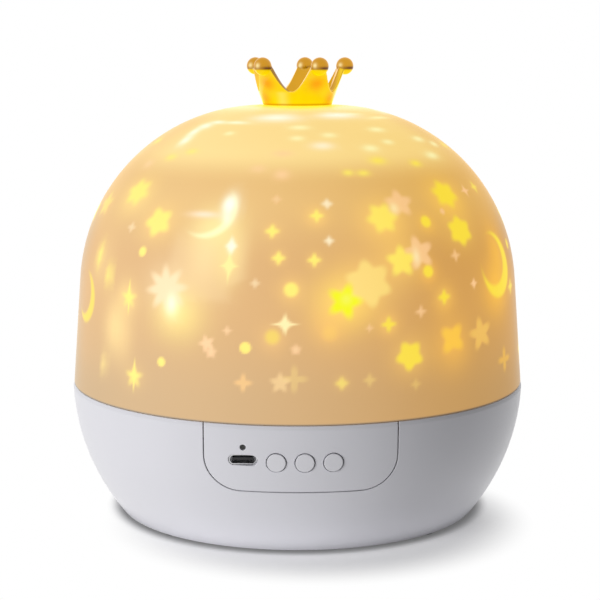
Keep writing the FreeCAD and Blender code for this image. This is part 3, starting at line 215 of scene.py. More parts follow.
def dome_profile(along):
    """Radius, height and outward normal at a distance along the dome's outline from its rim."""
    if along <= DOME_SIDE_LENGTH:
        height = DOME_FOOT + (DOME_SIDE_TOP - DOME_FOOT) * along / DOME_SIDE_LENGTH
        return dome_radius(height), height, math.cos(DOME_LEAN), math.sin(DOME_LEAN)
    along -= DOME_SIDE_LENGTH
    if along <= DOME_ARC_LENGTH:
        angle = DOME_ARC_START + along / DOME_ARC
        return (DOME_FLAT_RADIUS + DOME_ARC * math.cos(angle), DOME_ARC_HEIGHT + DOME_ARC * math.sin(angle),
                math.cos(angle), math.sin(angle))
    return DOME_FLAT_RADIUS - (along - DOME_ARC_LENGTH), DOME_TOP, 0.0, 1.0


def on_dome(azimuth, height):
    """A point on the dome's outer face, with its sideways and upward tangents."""
    angle = math.radians(azimuth)
    radius = dome_radius(height)
    outward = np.array([math.sin(angle), -math.cos(angle), 0.0])
    side = np.array([math.cos(angle), math.sin(angle), 0.0])
    lean = DOME_LEAN
    if height > DOME_SIDE_TOP:
        lean = math.atan2(height - DOME_ARC_HEIGHT, radius - DOME_FLAT_RADIUS)
    up = -outward * math.sin(lean) + np.array([0.0, 0.0, math.cos(lean)])
    return outward * radius + np.array([0.0, 0.0, height]), side, up


# Light spots on the dome, with azimuths and tilts in degrees, and heights and sizes in millimetres.
# The film's pattern repeats on the far side of the lamp.
YELLOW = (1.0, 0.75, 0.02)
SOFT_YELLOW = (1.0, 0.77, 0.04)
ORANGE = (1.0, 0.55, 0.0)
HOT = (1.0, 1.0, 0.0)
WHITE = (1.0, 0.84, 0.52)
PINK = (0.98, 0.56, 0.23)
PALE = (0.96, 0.66, 0.11)
MILKY = (0.97, 0.70, 0.36)

STARS = [
    # azimuth, height, size, tilt, points, waist, softness, colour, strength
    (-54.4, 115.5, 4.6, 20, 6, 0.80, 0.25, SOFT_YELLOW, 0.95),
    (-40.3, 107.2, 4.8, 25, 5, 0.74, 0.14, SOFT_YELLOW, 1.0),
    (-46, 82.5, 2.7, 0, 5, 0.60, 0.36, SOFT_YELLOW, 0.80),
    (-43, 57.3, 3.0, 0, 5, 0.60, 0.30, SOFT_YELLOW, 0.80),
    (46.6, 115.3, 4.8, 10, 6, 0.80, 0.20, YELLOW, 1.0),
    (46.6, 103.7, 4.9, 0, 6, 0.80, 0.08, YELLOW, 1.0),
    (22, 109.4, 4.9, 35, 6, 0.78, 0.16, SOFT_YELLOW, 0.95),
    (25.2, 96.0, 4.8, 0, 5, 0.66, 0.14, SOFT_YELLOW, 0.95),
    (26.2, 66.3, 4.7, 30, 5, 0.74, 0.06, YELLOW, 1.0),
    (39, 70, 5.0, 50, 4, 0.62, 0.16, ORANGE, 0.95),
    (10.2, 84.5, 5.2, -18, 5, 0.62, 0.22, HOT, 1.0),
    (28.2, 113.5, 4.6, 0, 5, 0.66, 0.14, PINK, 0.8),
    (30.5, 98.2, 5.4, 10, 5, 0.58, 0.08, PINK, 0.85),
    (16.2, 89.7, 7.4, 10, 6, 0.74, 0.08, PALE, 0.9),
    (49.7, 69.9, 5.2, 10, 5, 0.55, 0.14, (0.92, 0.52, 0.06), 0.8),
    (-22.3, 70.7, 2.4, 20, 5, 0.60, 0.12, PINK, 0.85),
    (-21.2, 68, 1.7, 0, 5, 0.70, 0.14, PINK, 0.8),
    (-33.8, 86.9, 6.9, 8, 8, 0.62, 0.22, MILKY, 0.9),
    (-72, 110, 4.0, 10, 5, 0.66, 0.30, SOFT_YELLOW, 0.5),
    (61.5, 58.9, 3.8, 0, 4, 0.35, 0.18, ORANGE, 0.5),
    (85, 105, 4.4, 0, 5, 0.64, 0.12, YELLOW, 0.9),
    (93, 66, 4.6, 15, 5, 0.64, 0.12, SOFT_YELLOW, 0.8),
    (-98, 58, 4.4, 15, 5, 0.64, 0.12, SOFT_YELLOW, 0.8),
    # mostly four-pointed sparkles
    (-7.2, 105.9, 2.0, 0, 4, 0.62, 0.14, SOFT_YELLOW, 1.0),
    (-5.4, 97.9, 1.9, 0, 4, 0.62, 0.12, SOFT_YELLOW, 1.0),
    (4.2, 110.5, 1.9, 0, 4, 0.60, 0.14, SOFT_YELLOW, 1.0),
    (3.2, 97.3, 1.9, 0, 4, 0.60, 0.12, SOFT_YELLOW, 1.0),
    (36.8, 83.7, 2.1, 0, 4, 0.58, 0.14, YELLOW, 1.0),
    (20.9, 76.7, 2.2, 0, 4, 0.52, 0.12, YELLOW, 1.0),
    (7.0, 103.0, 1.3, 0, 4, 0.66, 0.16, WHITE, 0.9),
    (7.2, 114.0, 1.5, 0, 4, 0.70, 0.16, WHITE, 0.8),
    (-6.6, 115.4, 1.3, 0, 4, 0.66, 0.18, PINK, 0.6),
    (-10.8, 90.1, 1.2, 0, 4, 0.60, 0.18, MILKY, 0.7),
    (-17.3, 75.1, 1.2, 0, 4, 0.55, 0.18, PINK, 0.8),
    (42.3, 96.3, 1.7, 0, 4, 0.50, 0.14, PINK, 0.8),
    (29.6, 79.9, 1.7, 0, 4, 0.50, 0.14, PINK, 0.8),
    (16.1, 75.9, 1.0, 0, 4, 0.55, 0.16, PINK, 0.7),
    (-13.3, 59, 2.6, 0, 4, 0.50, 0.14, (0.95, 0.50, 0.10), 0.7),
    (-4.8, 59.3, 3.0, 0, 5, 0.60, 0.12, (0.95, 0.60, 0.20), 0.6),
    (-1.6, 60.5, 4.0, 0, 4, 0.36, 0.14, PALE, 0.30),
    (-1.2, 69.7, 1.4, 0, 5, 0.80, 0.14, PINK, 0.8),
    (9.3, 59, 1.8, 0, 4, 0.70, 0.20, SOFT_YELLOW, 0.6),
    (15.9, 59.6, 1.8, 0, 4, 0.60, 0.20, PALE, 0.4),
    (27.6, 57, 1.5, 0, 4, 0.60, 0.20, PALE, 0.35),
    (-50, 104.6, 1.5, 0, 4, 0.60, 0.16, MILKY, 0.6),
    (66, 116, 1.8, 0, 4, 0.50, 0.16, SOFT_YELLOW, 0.8),
    (70, 82, 2.2, 0, 4, 0.50, 0.14, SOFT_YELLOW, 0.8),
    (-94, 98, 2.4, 0, 4, 0.50, 0.14, SOFT_YELLOW, 0.9),
    (-92, 84, 2.8, 0, 4, 0.46, 0.14, WHITE, 0.7),
    (95, 106, 4.4, 20, 5, 0.66, 0.14, SOFT_YELLOW, 0.9),
]
TALL_SPARKLES = [
    # azimuth, height, half width, half height, colour
    (-17.3, 101.2, 3.2, 5.8, WHITE),
    (-17.4, 95.2, 3.6, 7.4, (1.0, 0.80, 0.20)),
    (-3.7, 77.6, 4.4, 5.4, (1.0, 0.80, 0.32)),
    (47.8, 86.6, 2.6, 3.6, PINK),
    (57.9, 115.5, 3.0, 3.6, PINK),
    (-43, 57.8, 3.6, 5.0, SOFT_YELLOW),
    (-46, 82.8, 3.4, 5.2, SOFT_YELLOW),
]
DOTS = [
    # azimuth, height, radius, softness, colour, strength
    (-43.1, 97.6, 1.6, 0.35, SOFT_YELLOW, 1.0),
    (35, 107.5, 1.9, 0.35, YELLOW, 1.0),
    (32.5, 92.3, 1.9, 0.35, YELLOW, 1.0),
    (-2.3, 88.3, 2.2, 0.35, SOFT_YELLOW, 1.0),
    (-6.6, 73.6, 2.2, 0.5, YELLOW, 0.6),
    (6.6, 74.7, 2.2, 0.6, ORANGE, 0.4),
    (-12.9, 70, 1.8, 0.25, SOFT_YELLOW, 1.0),
    (-34.5, 63.4, 1.5, 0.3, SOFT_YELLOW, 1.0),
    (42.2, 110.1, 1.0, 0.4, PINK, 0.8),
    (74, 96, 1.7, 0.3, YELLOW, 0.9),
    (-90, 73, 1.7, 0.3, SOFT_YELLOW, 0.9),
]
CRESCENTS = [
    # azimuth, height, radius, bite radius, bite offset, direction of the bite in degrees, colour, strength
    (60.5, 91, 11.0, 8.9, 3.5, 140, YELLOW, 1.0),
    (-69, 79, 8.6, 7.9, 3.4, 150, YELLOW, 0.9),
    (-25.1, 111.5, 9.2, 10.2, 3.3, 140, (1.0, 0.93, 0.44), 0.95),
]
GLOWS = [
    # azimuth, height, half width, half height, colour, strength: soft light with no edge of its own
    (-30.2, 79.6, 8.6, 8.0, (1.0, 0.72, 0.10), 0.85),
    (-32.1, 82.6, 3.0, 4.2, (1.0, 1.0, 0.45), 1.0),
    (-34, 88.0, 8.0, 8.0, (1.0, 0.72, 0.35), 0.35),
    (-22, 106, 8.0, 7.0, (1.0, 0.78, 0.22), 0.85),
    (-24, 97, 7.0, 11.0, (1.0, 0.68, 0.24), 0.6),
    (-17.5, 97, 4.4, 8.0, (1.0, 0.74, 0.18), 0.6),
    (-19.2, 112.8, 2.6, 4.6, (1.0, 0.98, 0.72), 1.0),
    (-26.2, 110.3, 5.2, 1.1, (1.0, 0.74, 0.50), 0.9),
    (10.2, 84.5, 9.5, 8.5, (1.0, 0.60, 0.01), 1.0),
    (6.5, 77, 5.0, 6.0, (1.0, 0.50, 0.02), 0.5),
    (16, 90, 10, 9, (1.0, 0.58, 0.08), 0.5),
    (25, 96.5, 8, 7, (1.0, 0.56, 0.06), 0.4),
    (22, 108, 8, 7, (1.0, 0.56, 0.06), 0.7),
    (46, 113.5, 8, 7, (1.0, 0.55, 0.04), 0.7),
    (35, 107, 3.4, 3.4, (1.0, 0.55, 0.02), 0.6),
    (32.5, 91.8, 3.4, 3.6, (1.0, 0.50, 0.02), 0.7),
    (36.8, 83, 4.5, 5, (1.0, 0.52, 0.03), 0.5),
    (39, 68, 8, 8, (1.0, 0.50, 0.02), 0.6),
    (20.9, 76.5, 3.6, 4.0, (1.0, 0.50, 0.03), 0.4),
    (59, 84, 9, 9, (1.0, 0.50, 0.0), 0.9),
    (62, 95, 6, 9, (1.0, 0.50, 0.0), 0.7),
    (26, 66, 6, 6, (0.95, 0.45, 0.03), 0.3),
    (4, 110, 3.6, 3.6, (1.0, 0.56, 0.06), 0.5),
    (-2.3, 88, 4.0, 4.2, (1.0, 0.56, 0.05), 0.5),
    (-6.6, 73, 4.0, 4.2, (1.0, 0.52, 0.06), 0.4),
    (-40.3, 107, 6.5, 6.0, (1.0, 0.62, 0.10), 0.35),
    (-51, 72, 6.0, 8.5, (1.0, 0.66, 0.16), 0.75),
    (-47, 69, 4.0, 8.0, (1.0, 0.62, 0.14), 0.30),
    (-54, 114, 7.5, 6, (1.0, 0.68, 0.12), 0.6),
    (-47, 82, 5.0, 6.0, (1.0, 0.66, 0.14), 0.5),
    (-60, 92, 7.0, 8.0, (1.0, 0.66, 0.16), 0.3),
    (-62.2, 94.1, 2.2, 3.8, SOFT_YELLOW, 0.95),
    (-55.2, 88.6, 2.0, 3.4, SOFT_YELLOW, 0.95),
    (-55.4, 59, 1.8, 3.2, PALE, 0.8),
]
HOT_SPOTS = [
    # azimuth, height, half width, half height, colour, strength: glare that lies over the motifs
    (-32.1, 82.4, 1.5, 2.6, (1.0, 1.0, 0.62), 1.0),
    (-19.6, 113.6, 1.8, 2.4, (1.0, 1.0, 0.80), 1.0),
    (-19.5, 109.5, 1.4, 2.2, (1.0, 0.98, 0.66), 0.8),
    (-17.3, 101.0, 1.2, 1.8, (1.0, 0.95, 0.72), 0.9),
    (26.1, 112.1, 1.6, 1.8, (1.0, 0.80, 0.36), 0.8),
    (29.6, 97.1, 1.3, 2.6, (1.0, 0.80, 0.40), 0.8),
    (10.6, 85.2, 1.8, 1.8, (1.0, 1.0, 0.10), 0.9),
]
LIGHT_YELLOW = (1.0, 0.92, 0.42)
CAP_SPOTS = [
    # azimuth, distance from the axis, half width, half depth, colour, strength
    # The first five, near white, are a painted reflection: an arc on the cap at the top left.
    (-51.5, 48.2, 2.3, 3.0, (1.0, 0.97, 0.66), 1.0),
    (-52.8, 44.0, 2.2, 3.0, (1.0, 0.97, 0.66), 1.0),
    (-51.0, 40.2, 3.0, 2.2, (1.0, 0.97, 0.66), 1.0),
    (-46.2, 37.4, 3.2, 1.3, (1.0, 0.97, 0.66), 0.9),
    (-34.0, 37.2, 4.6, 1.2, (1.0, 0.97, 0.60), 0.9),
    (-31.5, 44.0, 1.8, 1.2, LIGHT_YELLOW, 0.8),
    (36, 29.6, 4.6, 1.1, LIGHT_YELLOW, 0.8),
    (53, 34.0, 5.6, 1.2, LIGHT_YELLOW, 0.8),
    (0, 40, 3.2, 1.6, LIGHT_YELLOW, 0.9),
    (37.8, 42, 3.2, 1.6, LIGHT_YELLOW, 0.9),
    (-1, 46, 2.2, 1.4, LIGHT_YELLOW, 0.8),
    (12.5, 44.5, 2.4, 1.5, LIGHT_YELLOW, 0.8),
    (8.5, 49.5, 3.6, 2.0, WHITE, 1.0),
    (27, 50.9, 2.8, 1.7, LIGHT_YELLOW, 0.9),
    (37, 48.5, 2.2, 1.3, LIGHT_YELLOW, 0.8),
    (27, 55.5, 3.0, 1.8, SOFT_YELLOW, 0.9),
    (15, 59, 1.8, 1.3, SOFT_YELLOW, 0.9),
    (20, 59.2, 2.2, 1.3, SOFT_YELLOW, 0.9),
    (-5.6, 59.4, 2.4, 2.0, PINK, 0.8),
    (-6.0, 52.6, 3.4, 1.6, PINK, 0.6),
    (-13.4, 57.8, 2.4, 1.6, PINK, 0.6),
    (57, 48.0, 3.0, 1.5, LIGHT_YELLOW, 0.9),
    (54, 54.8, 3.4, 1.7, LIGHT_YELLOW, 0.9),
    (65, 50.8, 2.4, 1.4, LIGHT_YELLOW, 0.8),
    (42, 57, 2.4, 1.5, SOFT_YELLOW, 0.9),
    (-50, 55.2, 2.6, 1.6, SOFT_YELLOW, 0.7),
    (-42, 52.7, 2.4, 1.4, SOFT_YELLOW, 0.7),
    (-60, 58, 2.6, 2.0, PINK, 0.6),
    (-75, 50, 3.0, 1.6, SOFT_YELLOW, 0.7),
    (76, 52, 3.0, 1.6, SOFT_YELLOW, 0.7),
]
CROWN_GLOWS = [
    # azimuth, distance from the axis, half width, half depth, strength
    (-13.4, 32.5, 7.0, 3.4, 1.0),
    (24.4, 30.5, 7.0, 3.0, 1.0),
    (90, 29, 8.0, 2.2, 0.7),
    (160, 30, 8.0, 2.4, 0.8),
    (-120, 29, 8.0, 2.2, 0.7),
]

# The plain glow under the motifs. A band is where a blend starts and ends, in millimetres or degrees.
PEACH = (0.65, 0.305, 0.034)
LOW_PEACH = (0.55, 0.28, 0.055)
LOW_BAND = (48, 84)
WARM_PEACH = (0.82, 0.48, 0.09)
WARM_BAND = (94, 116)
WARM_STRENGTH = 0.6
CAP_YELLOW = (0.95, 0.66, 0.19)
CAP_RADIUS_BAND = (52.5, 62.5)
CAP_HEIGHT_BAND = (90, 110)
# Painted shade: the cap's light yellow fades at the dome's sides.
CAP_SIDE_BAND = (48, 74)
CAP_SIDE_RADIUS_BAND = (24, 40)
CAP_SIDE_SHADE = 0.6
# Painted shade: the dome's foot is darker at the sides.
DIM_FOOT_SHADE = (0.40, 0.22, 0.06)
DIM_SIDE_BAND = (30, 70)
DIM_HEIGHT_BAND = (48, 62)
DIM_STRENGTH = 0.35
# Painted shade: the dome's sides turn greyer towards the silhouette.
SILHOUETTE_SHADE = (0.34, 0.26, 0.17)
SILHOUETTE_BAND = (66, 82)
SILHOUETTE_HEIGHT_BAND = (100, 118)
SILHOUETTE_STRENGTH = 0.42

# Motifs: how clear the plastic looks where one shines, their blur, and the orange light round them.
CLEARNESS = {HOT: 0.85, YELLOW: 0.4}
EDGE_BLUR = 0.85
CRESCENT_BLUR = 0.9
SPARKLE_BAND = (0.75, 1.15)
SPREAD_POWER = 0.35
SPREAD_LEAST = 0.5
STAR_REACH = 2.4
STAR_MARGIN = 1.0
SPARKLE_REACH = 1.3
DOT_REACH = 2.0
CRESCENT_REACH = 1.3
GLOW_REACH = 2.5
HALO = (1.0, 0.60, 0.06)
HALO_REACH = 1.3
HALO_STRENGTH = 0.35

# The reflection of a soft light in the dome's shoulder, whose right edge has a jog.
PANE_COLOUR = (1.0, 0.72, 0.36)
PANE_STRENGTH = 0.20
PANE_LEFT = -33.5
PANE_RIGHT = -13.4
PANE_LOW_RIGHT = -17.2
PANE_JOG_BAND = (88, 92)
PANE_BLUR = 2.0
PANE_LOW_BAND = (82.6, 84.2)
PANE_HIGH_BAND = (100, 108)

# Light at the crown's foot, and the shade of the seam at the dome's rim.
CROWN_GLARE = (1.0, 0.97, 0.75)
TOP_BAND = (100, 120)
RING_COLOUR = (1.0, 0.88, 0.44)
RING_RADIUS = 21.0
RING_WIDTH = 5.0
RING_STRENGTH = 0.55
PATCH_YELLOW = (1.0, 0.80, 0.02)
PATCH_ORANGE = (1.0, 0.58, 0.0)
PATCH_HALF_WIDTH = 16.0
PATCH_HALF_DEPTH = 25.0
PATCH_EDGE_BAND = (0.70, 1.10)
PATCH_ORANGE_BAND = (8, 13)
PATCH_ORANGE_STRENGTH = 0.6
SEAM_SHADE = (0.10, 0.06, 0.04)
SEAM_WIDTH = 0.5
SEAM_STRENGTH = 0.8


def step(low, high, value):
    """0 below low, 1 above high and smooth between."""
    share = np.clip((value - low) / (high - low), 0, 1)
    return share * share * (3 - 2 * share)


def hump(value, middle, spread):
    """1 at the middle and fading away to both sides."""
    return np.exp(-((value - middle) / spread) ** 2)


class Painter:
    """Glow and milkiness of points on the dome, laid on in layers."""

    def __init__(self, points):
        self.points = points
        self.everywhere = np.arange(len(points))
        self.colours = np.tile(np.array(PEACH), (len(points), 1))
        self.milk = np.ones(len(points))

    def lay(self, index, amount, colour):
        share = np.clip(amount, 0, 1)
        self.milk[index] *= 1 - share * CLEARNESS.get(colour, 0)
        share = share[:, None]
        self.colours[index] = self.colours[index] * (1 - share) + np.array(colour) * share

    def ground(self):
        """The plain glow: light yellow on top and peach below it, with painted shade that darkens and greys
        the sides.
        """
        x, y, height = self.points.T
        radius = np.hypot(x, y)
        from_middle = np.degrees(np.arctan2(np.abs(x), np.abs(y)))
        on_cap = (1 - step(*CAP_RADIUS_BAND, radius)) * step(*CAP_HEIGHT_BAND, height)
        # painted shade: less of the cap's yellow at the sides
        on_cap *= 1 - CAP_SIDE_SHADE * step(*CAP_SIDE_BAND, from_middle) * step(*CAP_SIDE_RADIUS_BAND, radius)
        # painted shade: a darker foot at the sides
        dim = step(*DIM_SIDE_BAND, from_middle) * (1 - step(*DIM_HEIGHT_BAND, height))
        # painted shade: greyer towards the silhouette
        edge = step(*SILHOUETTE_BAND, from_middle) * (1 - step(*SILHOUETTE_HEIGHT_BAND, height))
        self.lay(self.everywhere, 1 - step(*LOW_BAND, height), LOW_PEACH)
        self.lay(self.everywhere, WARM_STRENGTH * step(*WARM_BAND, height), WARM_PEACH)
        self.lay(self.everywhere, on_cap, CAP_YELLOW)
        self.lay(self.everywhere, DIM_STRENGTH * dim, DIM_FOOT_SHADE)
        self.lay(self.everywhere, SILHOUETTE_STRENGTH * edge, SILHOUETTE_SHADE)

    def near(self, azimuth, height, reach):
        """Indexes of the points near a place on the dome, with their sideways and upward distances."""
        centre, side, up = on_dome(azimuth, height)
        offset = self.points - centre
        index = np.nonzero((offset ** 2).sum(1) < reach ** 2)[0]
        return index, offset[index] @ side, offset[index] @ up

    def star(self, azimuth, height, radius, tilt, points, waist, softness, colour, strength):
        index, x, y = self.near(azimuth, height, STAR_REACH * radius + STAR_MARGIN)
        x = x * max(abs(math.cos(math.radians(azimuth))), SPREAD_LEAST) ** SPREAD_POWER
        if colour in (YELLOW, SOFT_YELLOW):
            halo = hump(np.hypot(x, y), 0, HALO_REACH * radius)
            self.lay(index, HALO_STRENGTH * strength * halo, HALO)
        lobes = 0.5 + 0.5 * np.cos(points * (np.arctan2(x, y) + math.radians(tilt)))
        edge = radius * (waist + (1 - waist) * lobes)
        soft = softness + EDGE_BLUR / radius
        self.lay(index, strength * (1 - step(1 - soft, 1 + soft, np.hypot(x, y) / edge)), colour)

    def tall_sparkle(self, azimuth, height, half_width, half_height, colour):
        index, x, y = self.near(azimuth, height, SPARKLE_REACH * half_height)
        reach = np.sqrt(np.abs(x) / half_width) + np.sqrt(np.abs(y) / half_height)
        self.lay(index, 1 - step(*SPARKLE_BAND, reach), colour)

    def dot(self, azimuth, height, radius, softness, colour, strength):
        index, x, y = self.near(azimuth, height, DOT_REACH * radius)
        ratio = np.hypot(x, y) / radius
        self.lay(index, strength * (1 - step(1 - softness, 1 + softness, ratio)), colour)

    def crescent(self, azimuth, height, radius, bite_radius, bite_offset, direction, colour, strength):
        index, x, y = self.near(azimuth, height, CRESCENT_REACH * radius)
        angle = math.radians(direction)
        from_bite = np.hypot(x - bite_offset * math.cos(angle), y - bite_offset * math.sin(angle))
        inside = 1 - step(radius - CRESCENT_BLUR, radius + CRESCENT_BLUR, np.hypot(x, y))
        outside = step(bite_radius - CRESCENT_BLUR, bite_radius + CRESCENT_BLUR, from_bite)
        self.lay(index, strength * inside * outside, colour)

    def glow(self, azimuth, height, half_width, half_height, colour, strength):
        index, x, y = self.near(azimuth, height, GLOW_REACH * max(half_width, half_height))
        self.lay(index, strength * hump(x, 0, half_width) * hump(y, 0, half_height), colour)

    def pane(self, turn):
        """The reflection in the dome's shoulder."""
        x, y, height = self.points.T
        azimuth = np.mod(np.degrees(np.arctan2(x, -y)) - turn + 180, 360) - 180
        right = PANE_LOW_RIGHT + (PANE_RIGHT - PANE_LOW_RIGHT) * step(*PANE_JOG_BAND, height)
        across = step(-PANE_BLUR, PANE_BLUR, azimuth - PANE_LEFT)
        across = across * (1 - step(-PANE_BLUR, PANE_BLUR, azimuth - right))
        upward = step(*PANE_LOW_BAND, height) * (1 - step(*PANE_HIGH_BAND, height))
        self.lay(self.everywhere, PANE_STRENGTH * across * upward, PANE_COLOUR)

    def motifs(self, turn):
        """All light spots: soft glows, then the motifs with edges, then the glare and the cap's spots."""
        layers = ((self.glow, GLOWS), (self.star, reversed(STARS)), (self.tall_sparkle, TALL_SPARKLES),
                  (self.dot, DOTS), (self.crescent, CRESCENTS), (self.glow, HOT_SPOTS))
        for draw, places in layers:
            for azimuth, height, *rest in places:
                draw(azimuth + turn, height, *rest)
        for azimuth, radius, *rest in CAP_SPOTS:
            self.glow(azimuth + turn, cap_height(radius), *rest)

    def top(self):
        """Light at the crown's foot: glints, a pale ring, and a yellow patch with orange ends."""
        for azimuth, radius, half_width, half_depth, strength in CROWN_GLOWS:
            self.glow(azimuth, cap_height(radius), half_width, half_depth, CROWN_GLARE, strength)
        x, y, height = self.points.T
        on_top = step(*TOP_BAND, height)
        ring = RING_STRENGTH * hump(np.hypot(x, y), RING_RADIUS, RING_WIDTH) * on_top
        from_patch = np.hypot(x / PATCH_HALF_WIDTH, y / PATCH_HALF_DEPTH)
        patch = (1 - step(*PATCH_EDGE_BAND, from_patch)) * on_top
        self.lay(self.everywhere, ring, RING_COLOUR)
        self.lay(self.everywhere, patch, PATCH_YELLOW)
        ends = PATCH_ORANGE_STRENGTH * patch * step(*PATCH_ORANGE_BAND, np.abs(x))
        self.lay(self.everywhere, ends, PATCH_ORANGE)

    def seam(self):
        """The dark line where the dome stands on the bowl."""
        above = 1 - step(DOME_FOOT, DOME_FOOT + SEAM_WIDTH, self.points[:, 2])
        self.lay(self.everywhere, SEAM_STRENGTH * above, SEAM_SHADE)


def paint_dome(points):
    """Glow and milkiness of the dome's points."""
    painter = Painter(points)
    painter.ground()
    for turn in (0, 180):
        painter.pane(turn)
        painter.motifs(turn)
    painter.top()
    painter.seam()
    return painter.colours, painter.milk


def spots():
    """Centre and reach of everything with an edge of its own, which needs a fine mesh."""
    # motifs, place of the size in their rows, margin round them
    edged = ((STARS, 2, 1.5), (TALL_SPARKLES, 3, 1.0), (DOTS, 2, 1.5), (CRESCENTS, 2, 1.0))
    found = []
    for turn in (0, 180):
        for motifs, size, margin in edged:
            found += [(on_dome(spot[0] + turn, spot[1])[0], spot[size] + margin) for spot in motifs]
        found += [(on_dome(spot[0] + turn, cap_height(spot[1]))[0], spot[2]) for spot in CAP_SPOTS]
    return found


# The dome's mesh: cells round and up its face, each cut FINE times both ways where a light spot has an edge.
# A cell reaches about half its diagonal from its middle.
COLUMNS = 180
ROW_STEP = 2.4
FINE = 4
CELL_REACH = 0.7 * ROW_STEP
INNER_ROWS = 28
DOME_SHARP_ANGLE = 40


def around(radius, height, turn):
    """A point at a radius and height, and at a share of a full turn from the front towards +X."""
    angle = 2 * math.pi * turn
    return radius * math.sin(angle), -radius * math.cos(angle), height


def row_place(row, rows):
    """Distance along the dome's outline of a row's lower edge: the first row is as narrow as the seam."""
    if row <= 1:
        return SEAM_WIDTH * row
    return SEAM_WIDTH + (DOME_LENGTH - SEAM_WIDTH) * (row - 1) / (rows - 1)


def fine_cells(rows):
    """Marks the cells that are cut finely, by row and column. The first and last rows join plain rings."""
    middles = []
    for row in range(rows):
        radius, height, _, _ = dome_profile(row_place(row + 0.5, rows))
        middles += [around(radius, height, (column + 0.5) / COLUMNS) for column in range(COLUMNS)]
    middles = np.array(middles)
    fine = np.zeros(len(middles), bool)
    for centre, reach in spots():
        fine |= ((middles - centre) ** 2).sum(1) < (reach + CELL_REACH) ** 2
    fine = fine.reshape(rows, COLUMNS)
    fine[[0, -1]] = False
    return fine


class DomeFace:
    """The dome's outer face. Its points lie on one fine lattice and are made when first asked for."""

    def __init__(self, rows, fine):
        self.rows = rows
        self.fine = fine
        self.points = []
        self.made = {}

    def point(self, column, row):
        place = (column % (COLUMNS * FINE), row)
        if place not in self.made:
            radius, height, _, _ = dome_profile(row_place(row / FINE, self.rows))
            self.made[place] = len(self.points)
            self.points.append(around(radius, height, place[0] / (COLUMNS * FINE)))
        return self.made[place]

    def ring(self, row):
        return [self.point(column * FINE, row * FINE) for column in range(COLUMNS)]

    def small_faces(self, left, low):
        """The faces of a cell that is cut finely."""
        faces = []
        for row in range(low, low + FINE):
            for column in range(left, left + FINE):
                corners = ((column, row), (column + 1, row), (column + 1, row + 1), (column, row + 1))
                faces.append([self.point(*corner) for corner in corners])
        return faces

    def cell(self, column, row):
        """The faces of one cell. A plain one takes in the points of each finely cut cell beside it."""
        left, low = column * FINE, row * FINE
        if self.fine[row, column]:
            return self.small_faces(left, low)
        parts = range(FINE)
        sides = (
            (row > 0 and self.fine[row - 1, column], [(left + k, low) for k in parts]),
            (self.fine[row, (column + 1) % COLUMNS], [(left + FINE, low + k) for k in parts]),
            (row < self.rows - 1 and self.fine[row + 1, column],
             [(left + FINE - k, low + FINE) for k in parts]),
            (self.fine[row, column - 1], [(left, low + FINE - k) for k in parts]),
        )
        loop = []
        for is_fine, places in sides:
            loop += [self.point(*place) for place in (places if is_fine else places[:1])]
        return [loop]


def bridge(first, second):
    """Faces between two rings of points."""
    faces = []
    for column in range(COLUMNS):
        after = (column + 1) % COLUMNS
        faces.append((first[column], first[after], second[after], second[column]))
    return faces


def make_dome(material):
    rows = round(DOME_LENGTH / ROW_STEP)
    face = DomeFace(rows, fine_cells(rows))
    faces = []
    for row in range(rows):
        for column in range(COLUMNS):
            faces += face.cell(column, row)
    rim = face.ring(0)
    previous = face.ring(rows)
    points = face.points
    for place in range(INNER_ROWS, -1, -1):
        radius, height, out, up = dome_profile(DOME_LENGTH * place / INNER_ROWS)
        radius = max(radius - DOME_WALL * out, DOME_HOLE_RADIUS)
        if place > 0:
            height -= DOME_WALL * up
        current = list(range(len(points), len(points) + COLUMNS))
        points += [around(radius, height, column / COLUMNS) for column in range(COLUMNS)]
        faces += bridge(previous, current)
        previous = current
    faces += bridge(previous, rim)

    mesh = bpy.data.meshes.new("lit_dome")
    mesh.from_pydata([tuple(c * MM for c in point) for point in points], [], faces)
    mesh.validate()
    paint_mesh(mesh, *paint_dome(np.array(points)))
    mesh.set_sharp_from_angle(angle=math.radians(DOME_SHARP_ANGLE))
    new_object("lit_dome", mesh, material, "dome", "dome_shade")


GLOW_LIGHT = 0.92
DOME_PLASTIC = (0.27, 0.29, 0.27)
DOME_HAZE_SIZE = 0.025
DOME_HAZE_DETAIL = 3
DOME_HAZE_BAND = (0.97, 1.03)
DOME_RIPPLES = 900
DOME_RIPPLE_BUMP = 0.015
DOME_RIPPLE_HEIGHT = 0.0001
DOME_ROUGHNESS = 0.3
DOME_REFRACTION = 1.3
DOME_REFLECTION = 0.04


def dome_material():
    """Milky plastic lit from inside: the glow attribute shines, under a glossy surface. The glow also holds
    painted shade and painted reflections.
    """
    material, tree = new_material("dome_plastic")
    glow = tree.add("Attribute", attribute_name="glow")
    place = (tree.add("TexCoord"), "Object")
    haze = tree.add("TexNoise", {"Vector": place, "Scale": 1 / DOME_HAZE_SIZE, "Detail": DOME_HAZE_DETAIL})
    drift = tree.add("MapRange", {"Value": (haze, "Fac"), "To Min": DOME_HAZE_BAND[0],
                                  "To Max": DOME_HAZE_BAND[1]})
    shine = tree.add("VectorMath", {"Vector": (glow, "Color"), "Scale": (drift, "Result")}, operation="SCALE")
    body = tree.add("VectorMath", {"Vector": DOME_PLASTIC, "Scale": (glow, "Alpha")}, operation="SCALE")
    fine = tree.add("TexNoise", {"Vector": place, "Scale": DOME_RIPPLES})
    relief = tree.add("Bump", {"Height": (fine, "Fac"), "Strength": DOME_RIPPLE_BUMP,
                             "Distance": DOME_RIPPLE_HEIGHT})
    shader = tree.add("BsdfPrincipled", {
        "Base Color": (body, "Vector"), "Roughness": DOME_ROUGHNESS, "IOR": DOME_REFRACTION,
        "Specular IOR Level": DOME_REFLECTION, "Normal": (relief, "Normal"),
        "Emission Color": (shine, "Vector"), "Emission Strength": GLOW_LIGHT,
    })
    tree.add("OutputMaterial", {"Surface": (shader, "BSDF")})
    return material


